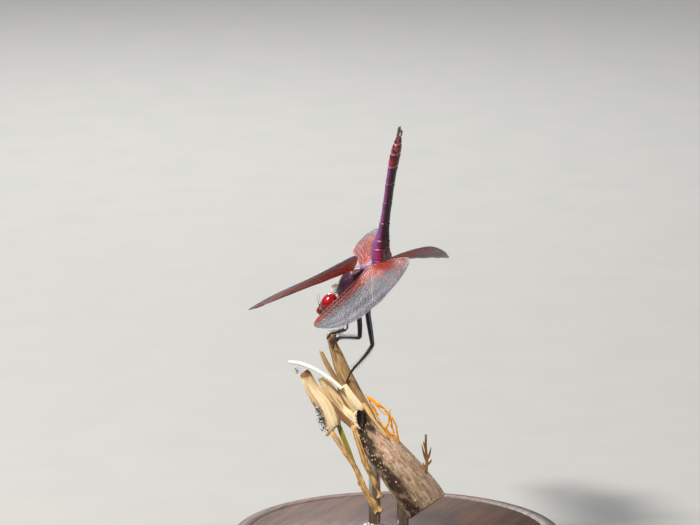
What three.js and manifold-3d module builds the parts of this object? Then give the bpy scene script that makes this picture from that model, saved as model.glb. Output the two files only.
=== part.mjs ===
// A violet dropwing dragonfly, life size, gripping the broken tip of a woody stem that a small
// display stand holds up. Millimetres, +Z up. The dragonfly heads towards -Y, its left side is +X,
// and the origin is the middle of the underside of the stand's base.
import * as THREE from 'three';
import { mergeVertices } from 'three/addons/utils/BufferGeometryUtils.js';
import Module from 'manifold-3d';

const wasm = await Module();
wasm.setup();

// ---------------------------------------------------------------- driving dimensions
const GAP = 0.3; // left between pieces that touch
const SHEET = 0.5; // thickness of the wings
// Degrees: head down, turned to the left, left side raised.
const BODY_TURN = [24, 0, 0];
const HEAD_TURN = [30, 10, 5];
const EYE_TURN = [-22, 10, 5];
const HINGE = new THREE.Vector3(0, -4, 51.5); // between the two hindwing hinges
const HEAD = new THREE.Vector3(0, -8.15, -7.45); // midway between the eyes, from HINGE

const EYE = { side: 1.45, half: [1.6, 1.42, 1.9] };
const FEELER_RADIUS = 0.26;

const HINDWING = { length: 27.1, out: 1.9, ahead: 0, rise: 0 };
const FOREWING = { length: 28.8, out: 1.7, ahead: 3.4, rise: -1.0 };
// Chord outlines: [share of the wing's length, distance behind the hinge line].
const HIND_LEADING = [[0, 0], [0.1, -0.15], [0.41, -0.15], [0.8, -0.45], [0.96, -0.2], [1, 0.35]];
const HIND_TRAILING = [
  [0, 3.2], [0.02, 5.8], [0.06, 7.8], [0.12, 8.7], [0.22, 9.0], [0.36, 8.8],
  [0.5, 8.1], [0.66, 7.1], [0.8, 5.9], [0.9, 4.4], [0.96, 2.9], [1, 1.0],
];
const FORE_LEADING = [[0, 0], [0.1, -0.15], [0.48, -0.1], [0.8, -0.4], [0.96, -0.2], [1, 0.4]];
const FORE_TRAILING = [
  [0, 1.3], [0.03, 3.0], [0.09, 4.3], [0.2, 5.3], [0.34, 6.1], [0.5, 6.6],
  [0.66, 6.4], [0.8, 5.6], [0.9, 4.2], [0.96, 2.8], [1, 1.0],
];

const THORAX_END = -0.9; // thorax stations run along the body from here, [ahead, top, bottom, half width]
const THORAX = [
  [THORAX_END, -0.2, -3.4, 1.55], [0, 0.35, -4.9, 2.1], [1.4, 0.5, -5.9, 2.4], [2.9, 0.7, -6.4, 2.55],
  [4.3, 0.75, -6.5, 2.5], [5.6, 0.5, -6.35, 2.4], [6.8, -0.1, -5.9, 2.15], [7.7, -1.0, -5.3, 1.8],
  [8.3, -2.1, -4.6, 1.3],
];

// Abdomen stations: [y, z, half width, half depth], from the thorax to the tip.
const ABDOMEN = [
  [1.7, -1.2, 1.4, 1.3], [1.3, -0.2, 1.6, 1.5], [0.98, 1.0, 1.7, 1.6], [0.87, 2.4, 1.65, 1.55],
  [1.2, 4.4, 1.25, 1.18], [1.62, 7.3, 0.95, 0.8], [2.15, 10.9, 0.93, 0.72], [2.6, 14.1, 0.98, 0.72],
  [3.12, 17.1, 1.06, 0.76], [3.58, 19.3, 1.05, 0.82], [3.98, 21.2, 0.78, 0.62], [4.22, 22.3, 0.5, 0.42],
];
const ABDOMEN_CUTS = { abdomen_base: [0, 0.19], abdomen_waist: [0.19, 0.36], abdomen_middle: [0.36, 0.65],
  abdomen_rear: [0.65, 0.86], abdomen_end: [0.86, 1] };

const BASE = { radius: 28, height: 5, bevel: 0.8 };
const ROD_RADIUS = 1.0;
const RODS = { stand_rod_front: [-0.9, -4.6], stand_rod_rear: [-0.9, 0.6] }; // [x, y]

// ---------------------------------------------------------------- materials
const finish = (color, roughness, metalness = 0) =>
  new THREE.MeshStandardMaterial({ color, roughness, metalness });
const MATERIAL = {
  eye: finish(0x8f0714, 0.18),
  face: finish(0x571322, 0.35),
  feeler: finish(0x15110f, 0.5),
  thorax: finish(0x5d2a45, 0.6),
  abdomen: finish(0xa63f86, 0.5),
  appendage: finish(0x6d6a58, 0.5),
  wing: finish(0xb09a96, 0.3),
  leg: finish(0x141316, 0.4),
  bark: finish(0x8d7464, 0.85),
  wood: finish(0xe0c08a, 0.75),
  bast: finish(0xd08a1c, 0.7),
  base: finish(0x3a2418, 0.45),
  rod: finish(0xb9b6ae, 0.3, 1),
};

// ---------------------------------------------------------------- helpers
const radians = THREE.MathUtils.degToRad;

/** A smooth function through [position, value] pairs in rising order. */
function through(pairs) {
  const slope = (i) => {
    const before = pairs[Math.max(i - 1, 0)];
    const after = pairs[Math.min(i + 1, pairs.length - 1)];
    return (after[1] - before[1]) / (after[0] - before[0]);
  };
  return (t) => {
    let i = 0;
    while (i < pairs.length - 2 && t > pairs[i + 1][0]) i += 1;
    const width = pairs[i + 1][0] - pairs[i][0];
    const s = (t - pairs[i][0]) / width;
    const a = pairs[i][1];
    const b = pairs[i + 1][1];
    const ease = s * s * (3 - 2 * s);
    const lead = slope(i) * width * s * (1 - s) * (1 - s);
    const tail = slope(i + 1) * width * s * s * (s - 1);
    return a + (b - a) * ease + lead + tail;
  };
}

/** A frame turned by [head down, to the left, left side up] degrees and moved to middle. */
const turned = ([pitch, yaw, roll], middle) => new THREE.Matrix4()
  .makeRotationFromEuler(new THREE.Euler(radians(pitch), -radians(roll), radians(yaw), 'ZXY'))
  .setPosition(middle);
/** Turns (left, ahead, up) in such a frame into a vector. */
const within = (matrix) => (left, ahead, rise) => new THREE.Vector3(left, -ahead, rise).applyMatrix4(matrix);
const inBody = within(turned(BODY_TURN, new THREE.Vector3()));
const HEAD_FRAME = turned(HEAD_TURN, HEAD);
const inHead = within(HEAD_FRAME);

/** A closed surface through rings of equally many points, with both end rings closed by a fan. */
function skin(rings) {
  const sides = rings[0].length;
  const middle = (ring) => ring.reduce((sum, p) => sum.add(p), new THREE.Vector3()).divideScalar(sides);
  const points = [...rings.flat(), middle(rings[0]), middle(rings.at(-1))];
  const faces = [];
  const last = (rings.length - 1) * sides;
  for (let k = 0; k < sides; k += 1) {
    const next = (k + 1) % sides;
    for (let row = 0; row < last; row += sides) {
      faces.push(row + k, row + next, row + sides + next, row + k, row + sides + next, row + sides + k);
    }
    faces.push(rings.length * sides, next, k, rings.length * sides + 1, last + k, last + next);
  }
  const geometry = new THREE.BufferGeometry().setFromPoints(points);
  geometry.setIndex(faces);
  return facingOut(geometry);
}

/** Turns the faces round if they enclose a negative volume. */
function facingOut(geometry) {
  const at = geometry.attributes.position;
  const index = geometry.index.array;
  const [a, b, c] = [new THREE.Vector3(), new THREE.Vector3(), new THREE.Vector3()];
  let volume = 0;
  for (let i = 0; i < index.length; i += 3) {
    a.fromBufferAttribute(at, index[i]);
    b.fromBufferAttribute(at, index[i + 1]);
    c.fromBufferAttribute(at, index[i + 2]);
    volume += a.dot(b.cross(c));
  }
  if (volume < 0) {
    for (let i = 0; i < index.length; i += 3) [index[i], index[i + 1]] = [index[i + 1], index[i]];
  }
  geometry.computeVertexNormals();
  return geometry;
}

/** A ring round middle with half axes a and b; a power above 2 squares it off. */
function oval(middle, a, b, sides, power = 2) {
  const round = (value) => Math.sign(value) * Math.abs(value) ** (2 / power);
  return Array.from({ length: sides }, (_, k) => {
    const angle = (2 * Math.PI * k) / sides;
    return middle.clone().addScaledVector(a, round(Math.cos(angle))).addScaledVector(b, round(Math.sin(angle)));
  });
}

function solidOf(geometry) {
  const bare = geometry.clone();
  bare.deleteAttribute('normal');
  bare.deleteAttribute('uv');
  const merged = mergeVertices(bare, 1e-4);
  return new wasm.Manifold(new wasm.Mesh({
    numProp: 3,
    vertProperties: new Float32Array(merged.attributes.position.array),
    triVerts: new Uint32Array(merged.index.array),
  }));
}

/** The largest body of a solid, as a geometry. */
function geometryOf(solid) {
  const largest = solid.decompose().reduce((a, b) => (a.volume() > b.volume() ? a : b));
  const mesh = largest.getMesh();
  const geometry = new THREE.BufferGeometry();
  geometry.setAttribute('position', new THREE.BufferAttribute(mesh.vertProperties, 3));
  geometry.setIndex(new THREE.BufferAttribute(mesh.triVerts, 1));
  geometry.computeVertexNormals();
  return geometry;
}

const cutFrom = (geometry, ...tools) =>
  geometryOf(tools.reduce((solid, tool) => solid.subtract(solidOf(tool)), solidOf(geometry)));

/** An egg shape in a turned frame, with half sizes across, along and up. */
function egg(frame, middle, half, columns = 16, rows = 10) {
  const rings = [];
  for (let row = 0; row <= rows; row += 1) {
    const angle = Math.PI * (0.03 + (0.94 * row) / rows);
    const flat = Math.sin(angle);
    rings.push(Array.from({ length: columns }, (_, k) => {
      const turn = (2 * Math.PI * k) / columns;
      return frame(
        middle[0] + half[0] * flat * Math.cos(turn),
        middle[1] + half[1] * flat * Math.sin(turn),
        middle[2] + half[2] * Math.cos(angle),
      );
    }));
  }
  return skin(rings);
}

/** A round limb along joints of [x, y, z, radius], mitred where it bends. */
function limb(joints, sides = 8) {
  const at = joints.map(([x, y, z]) => new THREE.Vector3(x, y, z));
  const along = at.slice(1).map((p, i) => p.clone().sub(at[i]).normalize());
  const across = new THREE.Vector3(1, 0, 0).cross(along[0]).normalize();
  const third = along[0].clone().cross(across);
  const rings = [oval(at[0], across.multiplyScalar(joints[0][3]), third.multiplyScalar(joints[0][3]), sides)];
  for (let i = 1; i < at.length; i += 1) {
    const before = along[i - 1];
    const plane = before.clone().add(along[i] ?? before).normalize();
    const scale = joints[i][3] / joints[i - 1][3];
    rings.push(rings.at(-1).map((p) => {
      const reach = at[i].clone().sub(p).dot(plane) / before.dot(plane);
      const moved = p.clone().addScaledVector(before, reach).sub(at[i]);
      return moved.multiplyScalar(scale).add(at[i]);
    }));
  }
  return skin(rings);
}

/**
 * A length of wood through stations of [x, y, z, half width, half depth]: its width lies in the
 * upright YZ plane and its depth along X. rough makes its sides uneven and its ends jagged.
 */
function timber(stations, { sides = 9, rough = 0.08, jag = 0.5, grow = 0, seed = 1 } = {}) {
  const at = stations.map(([x, y, z]) => new THREE.Vector3(x, y, z));
  const rings = stations.map(([, , , half, depth], i) => {
    const along = at[Math.min(i + 1, at.length - 1)].clone().sub(at[Math.max(i - 1, 0)]).normalize();
    const wide = new THREE.Vector3(0, -along.z, along.y).normalize();
    const deep = along.clone().cross(wide);
    const end = i === 0 ? -1 : Number(i === stations.length - 1);
    return oval(at[i], wide.multiplyScalar(half + grow), deep.multiplyScalar(depth + grow), sides)
      .map((p, k) => {
        const wave = rough * Math.sin(k * 2.4 + i * 1.3 + seed * 1.7);
        const tooth = end * (grow + jag * (0.5 + 0.5 * Math.sin(k * 3.1 + seed * 2.3)));
        return p.sub(at[i]).multiplyScalar(1 + wave).add(at[i]).addScaledVector(along, tooth);
      });
  });
  return skin(rings);
}

const model = new THREE.Group();
const insect = new THREE.Group();
insect.position.copy(HINGE);
model.add(insect);

function add(parent, name, geometry, material) {
  const mesh = new THREE.Mesh(geometry, material);
  mesh.name = name;
  parent.add(mesh);
}

// ---------------------------------------------------------------- thorax and neck
function thorax(grow = 0) {
  const smooth = [1, 2, 3].map((column) => through(THORAX.map((station) => [station[0], station[column]])));
  const [from, to] = [THORAX_END, THORAX.at(-1)[0]];
  const steps = 16;
  return skin(Array.from({ length: steps + 1 }, (_, i) => {
    const ahead = from + ((to - from) * i) / steps;
    const [top, bottom, half] = smooth.map((f) => f(ahead));
    const pushed = ahead + (i === 0 ? -grow : 0) + (i === steps ? grow : 0);
    const middle = inBody(0, pushed, (top + bottom) / 2);
    const side = new THREE.Vector3(half + grow, 0, 0);
    const rise = inBody(0, pushed, top + grow).sub(middle);
    return oval(middle, side, rise, 20, 2.3);
  }));
}

// ---------------------------------------------------------------- abdomen
const abdomenLine = new THREE.CatmullRomCurve3(ABDOMEN.map(([y, z]) => new THREE.Vector3(0, y, z)));

function abdomen(from, to, grow = 0) {
  const wide = through(ABDOMEN.map((station, i) => [i, station[2]]));
  const deep = through(ABDOMEN.map((station, i) => [i, station[3]]));
  const steps = Math.max(4, Math.round((to - from) * 26));
  const gap = GAP / 2 / abdomenLine.getLength();
  const start = from > 0 ? from + gap : -grow / abdomenLine.getLength();
  const end = to < 1 ? to - gap : to;
  const rings = [];
  for (let i = 0; i <= steps; i += 1) {
    const share = start + ((end - start) * i) / steps;
    const t = abdomenLine.getUtoTmapping(Math.max(share, 0));
    const along = abdomenLine.getTangent(t);
    const middle = abdomenLine.getPoint(t).addScaledVector(along, Math.min(share, 0) * abdomenLine.getLength());
    const station = t * (ABDOMEN.length - 1);
    const side = new THREE.Vector3(wide(station) + grow, 0, 0);
    const depth = new THREE.Vector3(0, -along.z, along.y).multiplyScalar(deep(station) + grow);
    rings.push(oval(middle, side, depth, 16, 2.2));
  }
  return skin(rings);
}

const grownAbdomen = abdomen(0, 0.4, GAP);
add(insect, 'thorax', cutFrom(thorax(), grownAbdomen), MATERIAL.thorax);
for (const [name, [from, to]] of Object.entries(ABDOMEN_CUTS)) {
  add(insect, name, abdomen(from, to), MATERIAL.abdomen);
}

/** The two claspers at the abdomen's tip and the plate below them. */
function tailPieces() {
  const tip = abdomenLine.getPoint(1);
  const along = abdomenLine.getTangent(1);
  const piece = (left, lift, length, radius) => {
    const start = tip.clone().add(new THREE.Vector3(left, lift, 0)).addScaledVector(along, GAP);
    const end = start.clone().addScaledVector(along, length).add(new THREE.Vector3(-left * 0.2, 0, 0));
    const middle = start.clone().lerp(end, 0.6);
    return limb([[...start, radius * 0.85], [...middle, radius], [...end, radius * 0.5]]);
  };
  add(insect, 'clasper_left', piece(0.42, -0.3, 1.45, 0.28), MATERIAL.appendage);
  add(insect, 'clasper_right', piece(-0.42, -0.3, 1.45, 0.28), MATERIAL.appendage);
  add(insect, 'tail_plate', piece(0, 0.5, 0.95, 0.3), MATERIAL.appendage);
}
tailPieces();

const inline = (points) => points.map(([left, ahead, rise, radius]) => [...inBody(left, ahead, rise), radius]);
// ---------------------------------------------------------------- head and neck
const FACE = { middle: [0, 1.85, -0.55], half: [1.3, 1.3, 1.15] };
const MOUTH = { middle: [0, 1.2, -1.7], half: [1.15, 1.05, 0.8] };
const NAPE = { middle: [0, -0.65, -0.35], half: [1.95, 0.85, 1.5] };
const COLLAR = { middle: [0, 8.85, -2.0], half: [1.35, 0.42, 1.15] };
const grown = ({ middle, half }, by) => egg(inHead, middle, half.map((value) => value + by));

function head() {
  const face = geometryOf(solidOf(grown(FACE, 0)).add(solidOf(grown(MOUTH, 0))));
  const faceRoom = [grown(FACE, GAP), grown(MOUTH, GAP)];
  add(insect, 'head', cutFrom(grown(NAPE, 0), ...faceRoom), MATERIAL.face);
  add(insect, 'face', face, MATERIAL.face);
  const eye = (side, by) => egg(within(turned(EYE_TURN, inHead(side * EYE.side, 0, 0))), [0, 0, 0],
    EYE.half.map((value) => value + by), 18, 12);
  for (const [name, side] of [['eye_left', 1], ['eye_right', -1]]) {
    const other = new THREE.BoxGeometry(8, 12, 12);
    other.translate(-side * (4 - GAP / 2), 0, 0);
    other.applyMatrix4(HEAD_FRAME);
    add(insect, name, cutFrom(eye(side, 0), other, ...faceRoom, grown(NAPE, GAP)), MATERIAL.eye);
  }
  const eyeRoom = [eye(1, GAP), eye(-1, GAP)];
  for (const [name, side] of [['antenna_left', 1], ['antenna_right', -1]]) {
    const feeler = limb([[...inHead(side * 0.5, 2.0, 0.2), FEELER_RADIUS], [...inHead(side * 0.55, 1.95, 1.0), FEELER_RADIUS],
      [...inHead(side * 0.75, 1.4, 2.3), FEELER_RADIUS * 0.95]], 6);
    add(insect, name, cutFrom(feeler, ...faceRoom, ...eyeRoom), MATERIAL.feeler);
  }
  const neck = limb(inline([[0, 8.1, -3.3, 1.2], [0, 8.9, -3.2, 1.15], [0, 9.8, -3.2, 0.9]]), 12);
  const collared = geometryOf(solidOf(neck).add(solidOf(egg(inBody, COLLAR.middle, COLLAR.half, 12, 6))));
  add(insect, 'neck', cutFrom(collared, thorax(GAP), ...eyeRoom, ...faceRoom, grown(NAPE, GAP)), MATERIAL.thorax);
}
head();

// ---------------------------------------------------------------- wings
/**
 * One wing as a plate. sweep turns it forwards, droop down, and pitch gives how far its chord is
 * tipped, leading edge down, at the root, halfway and at the tip, all in degrees.
 */
function wing(shape, leading, trailing, { side, sweep, droop, pitch }) {
  const out = new THREE.Vector3(
    side * Math.cos(radians(sweep)) * Math.cos(radians(droop)),
    -Math.sin(radians(sweep)) * Math.cos(radians(droop)),
    -Math.sin(radians(droop)),
  );
  const level = new THREE.Vector3(side * Math.sin(radians(sweep)), Math.cos(radians(sweep)), 0);
  const above = out.clone().cross(level).multiplyScalar(side);
  const root = new THREE.Vector3(side * shape.out, -shape.ahead, shape.rise);
  const [lead, trail] = [through(leading), through(trailing)];
  const [steps, across] = [20, 4];
  const rings = [];
  for (let i = 0; i <= steps; i += 1) {
    const t = 0.5 - 0.5 * Math.cos((Math.PI * i) / steps);
    const tip = pitch[0] * (1 - t) * (1 - 2 * t) + 4 * pitch[1] * t * (1 - t) + pitch[2] * t * (2 * t - 1);
    const [c, s] = [Math.cos(radians(tip)), Math.sin(radians(tip))];
    const chord = level.clone().multiplyScalar(c).addScaledVector(above, s);
    const normal = above.clone().multiplyScalar(c).addScaledVector(level, -s).multiplyScalar(SHEET / 2);
    const station = root.clone().addScaledVector(out, t * shape.length);
    const row = Array.from({ length: across + 1 }, (_, k) => {
      const behind = lead(t) + ((trail(t) - lead(t)) * k) / across;
      return station.clone().addScaledVector(chord, behind);
    });
    const upper = row.map((p) => p.clone().add(normal));
    const lower = row.map((p) => p.clone().sub(normal)).reverse();
    rings.push([...upper, ...lower]);
  }
  return skin(rings);
}

const WINGS = {
  forewing_left: [FOREWING, FORE_LEADING, FORE_TRAILING, { side: 1, sweep: 14, droop: 3.3, pitch: [58, 38, 38] }],
  forewing_right: [FOREWING, FORE_LEADING, FORE_TRAILING, { side: -1, sweep: 26, droop: 7, pitch: [28, 35, 54] }],
  hindwing_left: [HINDWING, HIND_LEADING, HIND_TRAILING, { side: 1, sweep: -2.3, droop: 9.3, pitch: [22, 8, -12] }],
  hindwing_right: [HINDWING, HIND_LEADING, HIND_TRAILING, { side: -1, sweep: 7.2, droop: 10.7, pitch: [24, 8, 2] }],
};
for (const [name, [shape, leading, trailing, pose]] of Object.entries(WINGS)) {
  const plate = wing(shape, leading, trailing, pose);
  add(insect, name, cutFrom(plate, thorax(GAP), grownAbdomen), MATERIAL.wing);
}

// ---------------------------------------------------------------- legs
// Joints from the hip to the claws: [x, y, z, radius], from HINGE.
const LEGS = {
  foreleg_left: [[0.9, -4.6, -7.3, 0.42], [1.15, -4.9, -8.6, 0.36], [1.75, -4.85, -11.5, 0.3],
    [1.1, -6.4, -12.2, 0.27], [0.95, -7.9, -12.6, 0.26], [0.85, -8.6, -13.6, 0.25]],
  foreleg_right: [[-0.9, -4.9, -7.3, 0.42], [-1.2, -5.8, -9.1, 0.36], [-1.9, -6.3, -12.3, 0.3],
    [-1.5, -7.5, -12.8, 0.27], [-1.25, -8.5, -13.2, 0.26], [-1.2, -8.9, -14.3, 0.25]],
  midleg_left: [[1.1, -2.9, -7.2, 0.45], [1.5, -2.5, -8.6, 0.4], [2.0, -2.1, -10.6, 0.38],
    [2.45, -1.95, -12.5, 0.3], [1.9, -4.2, -12.75, 0.28], [1.35, -6.1, -13.0, 0.26],
    [1.1, -7.1, -13.7, 0.25], [0.95, -7.5, -15.1, 0.25]],
  midleg_right: [[-1.1, -3.2, -7.2, 0.45], [-1.5, -3.8, -9.3, 0.4], [-2.2, -3.9, -11.7, 0.38],
    [-2.6, -4.1, -13.8, 0.3], [-2.1, -5.9, -13.8, 0.28], [-1.6, -7.3, -13.9, 0.26],
    [-1.45, -8.0, -14.7, 0.25], [-1.4, -8.2, -16.0, 0.25]],
  hindleg_left: [[1.1, -1.1, -6.8, 0.45], [1.6, -0.8, -8.3, 0.44], [2.5, 0.1, -11.2, 0.4],
    [3.15, 0.75, -13.4, 0.32], [2.3, -1.0, -15.6, 0.28], [1.05, -3.6, -18.2, 0.26],
    [0.95, -4.4, -19.4, 0.25], [0.95, -5.0, -20.9, 0.25]],
  hindleg_right: [[-1.1, -1.5, -6.8, 0.45], [-1.5, -2.1, -9.1, 0.44], [-2.0, -1.9, -12.3, 0.4],
    [-2.2, -1.6, -14.7, 0.32], [-1.95, -2.9, -16.7, 0.28], [-1.75, -4.7, -18.9, 0.26],
    [-1.8, -5.5, -20.0, 0.25], [-1.85, -6.1, -21.5, 0.25]],
};
for (const [name, joints] of Object.entries(LEGS)) {
  add(insect, name, cutFrom(limb(joints), thorax(GAP)), MATERIAL.leg);
}

// ---------------------------------------------------------------- perch
// Stations of [x, y, z, half width, half depth].
const STEM = [
  [0, 5.5, 10.2, 3.75, 3.7], [0, 4.1, 12.0, 3.75, 3.7], [0, 0.8, 15.7, 3.5, 3.5],
  [0, -2.5, 19.2, 3.1, 3.1], [0, -4.3, 21.2, 2.6, 2.7], [0, -5.7, 23.0, 2.1, 2.2],
];
const stem = (grow = 0) => timber(STEM, { sides: 20, rough: 0.02, jag: 0, grow });

const SPLINTERS = {
  perch_splinter_tall: [[[-0.3, -12.35, 38.6, 0.85, 0.8], [-0.3, -12.1, 36.8, 0.65, 0.8],
    [-0.3, -11.2, 34.7, 1.0, 1.0], [-0.3, -10.35, 32.5, 1.25, 1.15], [-0.3, -9.4, 30.7, 1.35, 1.2],
    [-0.3, -8.0, 28.4, 1.3, 1.2], [-0.5, -6.3, 25.8, 1.15, 1.1], [-0.5, -4.9, 23.6, 1.0, 1.0]], 1],
  perch_splinter_slab: [[[1.5, -9.3, 30.4, 0.55, 0.3], [1.6, -7.7, 28.3, 0.75, 0.35],
    [1.5, -6.2, 26.6, 0.7, 0.4], [1.3, -4.6, 23.9, 0.6, 0.5]], 2],
  perch_splinter_thin: [[[-1.4, -14.8, 35.0, 0.27, 0.27], [-1.5, -13.9, 33.1, 0.45, 0.35],
    [-1.6, -12.5, 30.9, 0.4, 0.35], [-1.8, -10.4, 28.0, 0.5, 0.4], [-1.6, -8.0, 25.0, 0.55, 0.45],
    [-1.1, -6.2, 22.4, 0.6, 0.5]], 3],
  perch_chunk_left: [[[0.8, -16.6, 31.2, 1.0, 0.8], [0.8, -15.3, 28.7, 1.3, 1.0],
    [0.8, -13.3, 26.1, 1.6, 1.2], [0.9, -11.8, 23.5, 1.6, 1.2], [0.9, -11.1, 22.2, 1.2, 1.0]], 4],
  perch_chunk_right: [[[0.3, -13.9, 31.0, 0.8, 0.7], [0.3, -12.5, 28.9, 1.0, 0.9],
    [0.2, -10.3, 26.4, 1.15, 1.2], [0.1, -8.1, 24.2, 1.3, 1.3], [0, -6.2, 22.4, 1.2, 1.2]], 5],
};

function perch() {
  add(model, 'perch_stem', stem(), MATERIAL.bark);
  const placed = [stem(GAP)];
  for (const [name, [stations, seed]] of Object.entries(SPLINTERS)) {
    add(model, name, cutFrom(timber(stations, { seed }), ...placed), MATERIAL.wood);
    placed.push(timber(stations, { seed, grow: GAP }));
  }
  const strips = {
    perch_fibre: [[[1.9, -19.3, 33.4, 0.3, 0.3], [1.9, -17.0, 33.3, 0.38, 0.35], [1.9, -14.2, 32.5, 0.4, 0.35],
      [2.0, -11.4, 31.1, 0.4, 0.35], [2.0, -9.2, 29.6, 0.36, 0.35]], MATERIAL.wood, 6],
    perch_bark_strip_left: [[[1.5, -11.9, 22.4, 0.5, 0.35], [1.9, -9.1, 19.0, 0.4, 0.3],
      [2.1, -6.9, 16.2, 0.45, 0.3], [2.2, -5.5, 13.4, 0.5, 0.3], [2.3, -3.9, 11.0, 0.6, 0.3],
      [2.3, -2.2, 8.8, 0.8, 0.3]], MATERIAL.wood, 7],
    perch_bark_strip_right: [[[1.7, -7.5, 23.6, 0.45, 0.3], [2.3, -6.0, 20.2, 0.45, 0.3],
      [2.6, -4.7, 17.2, 0.5, 0.3], [2.4, -3.1, 14.2, 0.5, 0.3], [2.3, -2.0, 11.4, 0.5, 0.3]], MATERIAL.bark, 8],
    perch_bast: [[[0.2, -5.6, 28.2, 0.27, 0.27], [0.3, -3.6, 27.0, 0.3, 0.27], [0.2, -1.8, 25.0, 0.3, 0.27],
      [0.1, -0.7, 22.8, 0.27, 0.27], [0, -0.3, 20.6, 0.27, 0.27]], MATERIAL.bast, 9],
    perch_twig: [[[0, 5.1, 14.6, 0.3, 0.3], [0, 5.4, 17.9, 0.32, 0.28], [0, 5.2, 20.4, 0.27, 0.27],
      [0, 5.2, 22.9, 0.25, 0.25]], MATERIAL.bark, 10],
  };
  for (const [name, [stations, material, seed]] of Object.entries(strips)) {
    const strip = timber(stations, { sides: 8, rough: 0, jag: 0, seed });
    add(model, name, cutFrom(strip, ...placed), material);
    placed.push(timber(stations, { sides: 8, rough: 0, jag: 0, grow: GAP, seed }));
  }
}
perch();

// ---------------------------------------------------------------- stand
function stand() {
  const { radius, height, bevel } = BASE;
  const profile = [[0, 0], [radius - bevel / 2, 0], [radius, bevel / 2], [radius, height - bevel],
    [radius - bevel, height], [0, height]].map(([x, y]) => new THREE.Vector2(x, y));
  const base = new THREE.LatheGeometry(profile, 40);
  base.rotateX(Math.PI / 2);
  add(model, 'stand_base', base, MATERIAL.base);
  const reach = STEM[3][2] - height;
  for (const [name, [x, y]] of Object.entries(RODS)) {
    const rod = new THREE.CylinderGeometry(ROD_RADIUS, ROD_RADIUS, reach, 16);
    rod.rotateX(Math.PI / 2);
    rod.translate(x, y, height + reach / 2);
    const above = timber(STEM.map((s) => [s[0], s[1], s[2] + 2, s[3], s[4]]), { sides: 20, rough: 0, jag: 0, grow: GAP });
    add(model, name, cutFrom(rod, stem(GAP), above), MATERIAL.rod);
  }
}
stand();

export default model;
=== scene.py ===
"""A violet dropwing dragonfly on a broken stem: the looks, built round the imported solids.

Shapes are made in millimetres in the row frame (the dragonfly heads towards -Y, its left is +X)
and turned into metres when a piece is made. Colours are display values from 0 to 255.
"""

import math
import random

import bpy
import numpy as np
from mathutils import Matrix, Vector, geometry, kdtree, noise


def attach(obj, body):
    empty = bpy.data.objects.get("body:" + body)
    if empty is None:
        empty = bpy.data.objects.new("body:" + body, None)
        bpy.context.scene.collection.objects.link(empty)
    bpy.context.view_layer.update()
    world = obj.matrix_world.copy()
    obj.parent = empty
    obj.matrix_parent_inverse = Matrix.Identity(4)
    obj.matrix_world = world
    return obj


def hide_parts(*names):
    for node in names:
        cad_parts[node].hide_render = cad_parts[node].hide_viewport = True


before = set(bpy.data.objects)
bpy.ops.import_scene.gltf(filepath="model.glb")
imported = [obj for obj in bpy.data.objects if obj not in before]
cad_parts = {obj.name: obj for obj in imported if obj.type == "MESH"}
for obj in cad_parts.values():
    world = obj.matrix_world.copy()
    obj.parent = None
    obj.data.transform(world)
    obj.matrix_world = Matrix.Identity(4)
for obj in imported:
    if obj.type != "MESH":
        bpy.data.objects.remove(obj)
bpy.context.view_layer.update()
MM = 0.001
TAU = 2 * math.pi
SIDES = {"left": 1, "right": -1}
SIDEWAYS = np.array((1.0, 0, 0))
rng = np.random.default_rng(7)

# ---------------------------------------------------------------- shared with the solids
HINGE = np.array((0.0, -4.0, 51.5))  # between the hindwing hinges
HEAD = np.array((0.0, -8.15, -7.45))  # midway between the eyes, from HINGE
BODY_TURN, HEAD_TURN, EYE_TURN = (24, 0, 0), (30, 10, 5), (-22, 10, 5)
EYE_SIDE, EYE_HALF = 1.45, (1.6, 1.42, 1.9)
# The thorax in the body's frame: ahead, top, bottom, half width.
THORAX = (
    (-0.9, -0.2, -3.4, 1.55), (0, 0.35, -4.9, 2.1), (1.4, 0.5, -5.9, 2.4), (2.9, 0.7, -6.4, 2.55),
    (4.3, 0.75, -6.5, 2.5), (5.6, 0.5, -6.35, 2.4), (6.8, -0.1, -5.9, 2.15), (7.7, -1.0, -5.3, 1.8),
    (8.3, -2.1, -4.6, 1.3))
# The abdomen from HINGE: y, z, half width, half depth.
ABDOMEN = (
    (1.7, -1.2, 1.4, 1.3), (1.3, -0.2, 1.6, 1.5), (0.98, 1.0, 1.7, 1.6), (0.87, 2.4, 1.65, 1.55),
    (1.2, 4.4, 1.25, 1.18), (1.62, 7.3, 0.95, 0.8), (2.15, 10.9, 0.93, 0.72), (2.6, 14.1, 0.98, 0.72),
    (3.12, 17.1, 1.06, 0.76), (3.58, 19.3, 1.05, 0.82), (3.98, 21.2, 0.78, 0.62), (4.22, 22.3, 0.5, 0.42))
SEGMENT_ENDS = (0.9, 2.9, 4.36, 7.33, 10.9, 14.1, 17.05, 19.27, 21.0)  # heights above HINGE


def through(pairs):
    """A smooth function through (position, value) pairs in rising order, for arrays too."""
    xs, ys = (np.array(values, float) for values in zip(*pairs))
    before = np.maximum(np.arange(len(xs)) - 1, 0)
    after = np.minimum(np.arange(len(xs)) + 1, len(xs) - 1)
    slopes = (ys[after] - ys[before]) / (xs[after] - xs[before])

    def value(t):
        t = np.asarray(t, float)
        i = np.searchsorted(xs[1:-1], t)
        width = xs[i + 1] - xs[i]
        s = (t - xs[i]) / width
        a, b = ys[i], ys[i + 1]
        return (a + (b - a) * s * s * (3 - 2 * s) + slopes[i] * width * s * (1 - s) ** 2
                + slopes[i + 1] * width * s * s * (s - 1))

    return value


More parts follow.
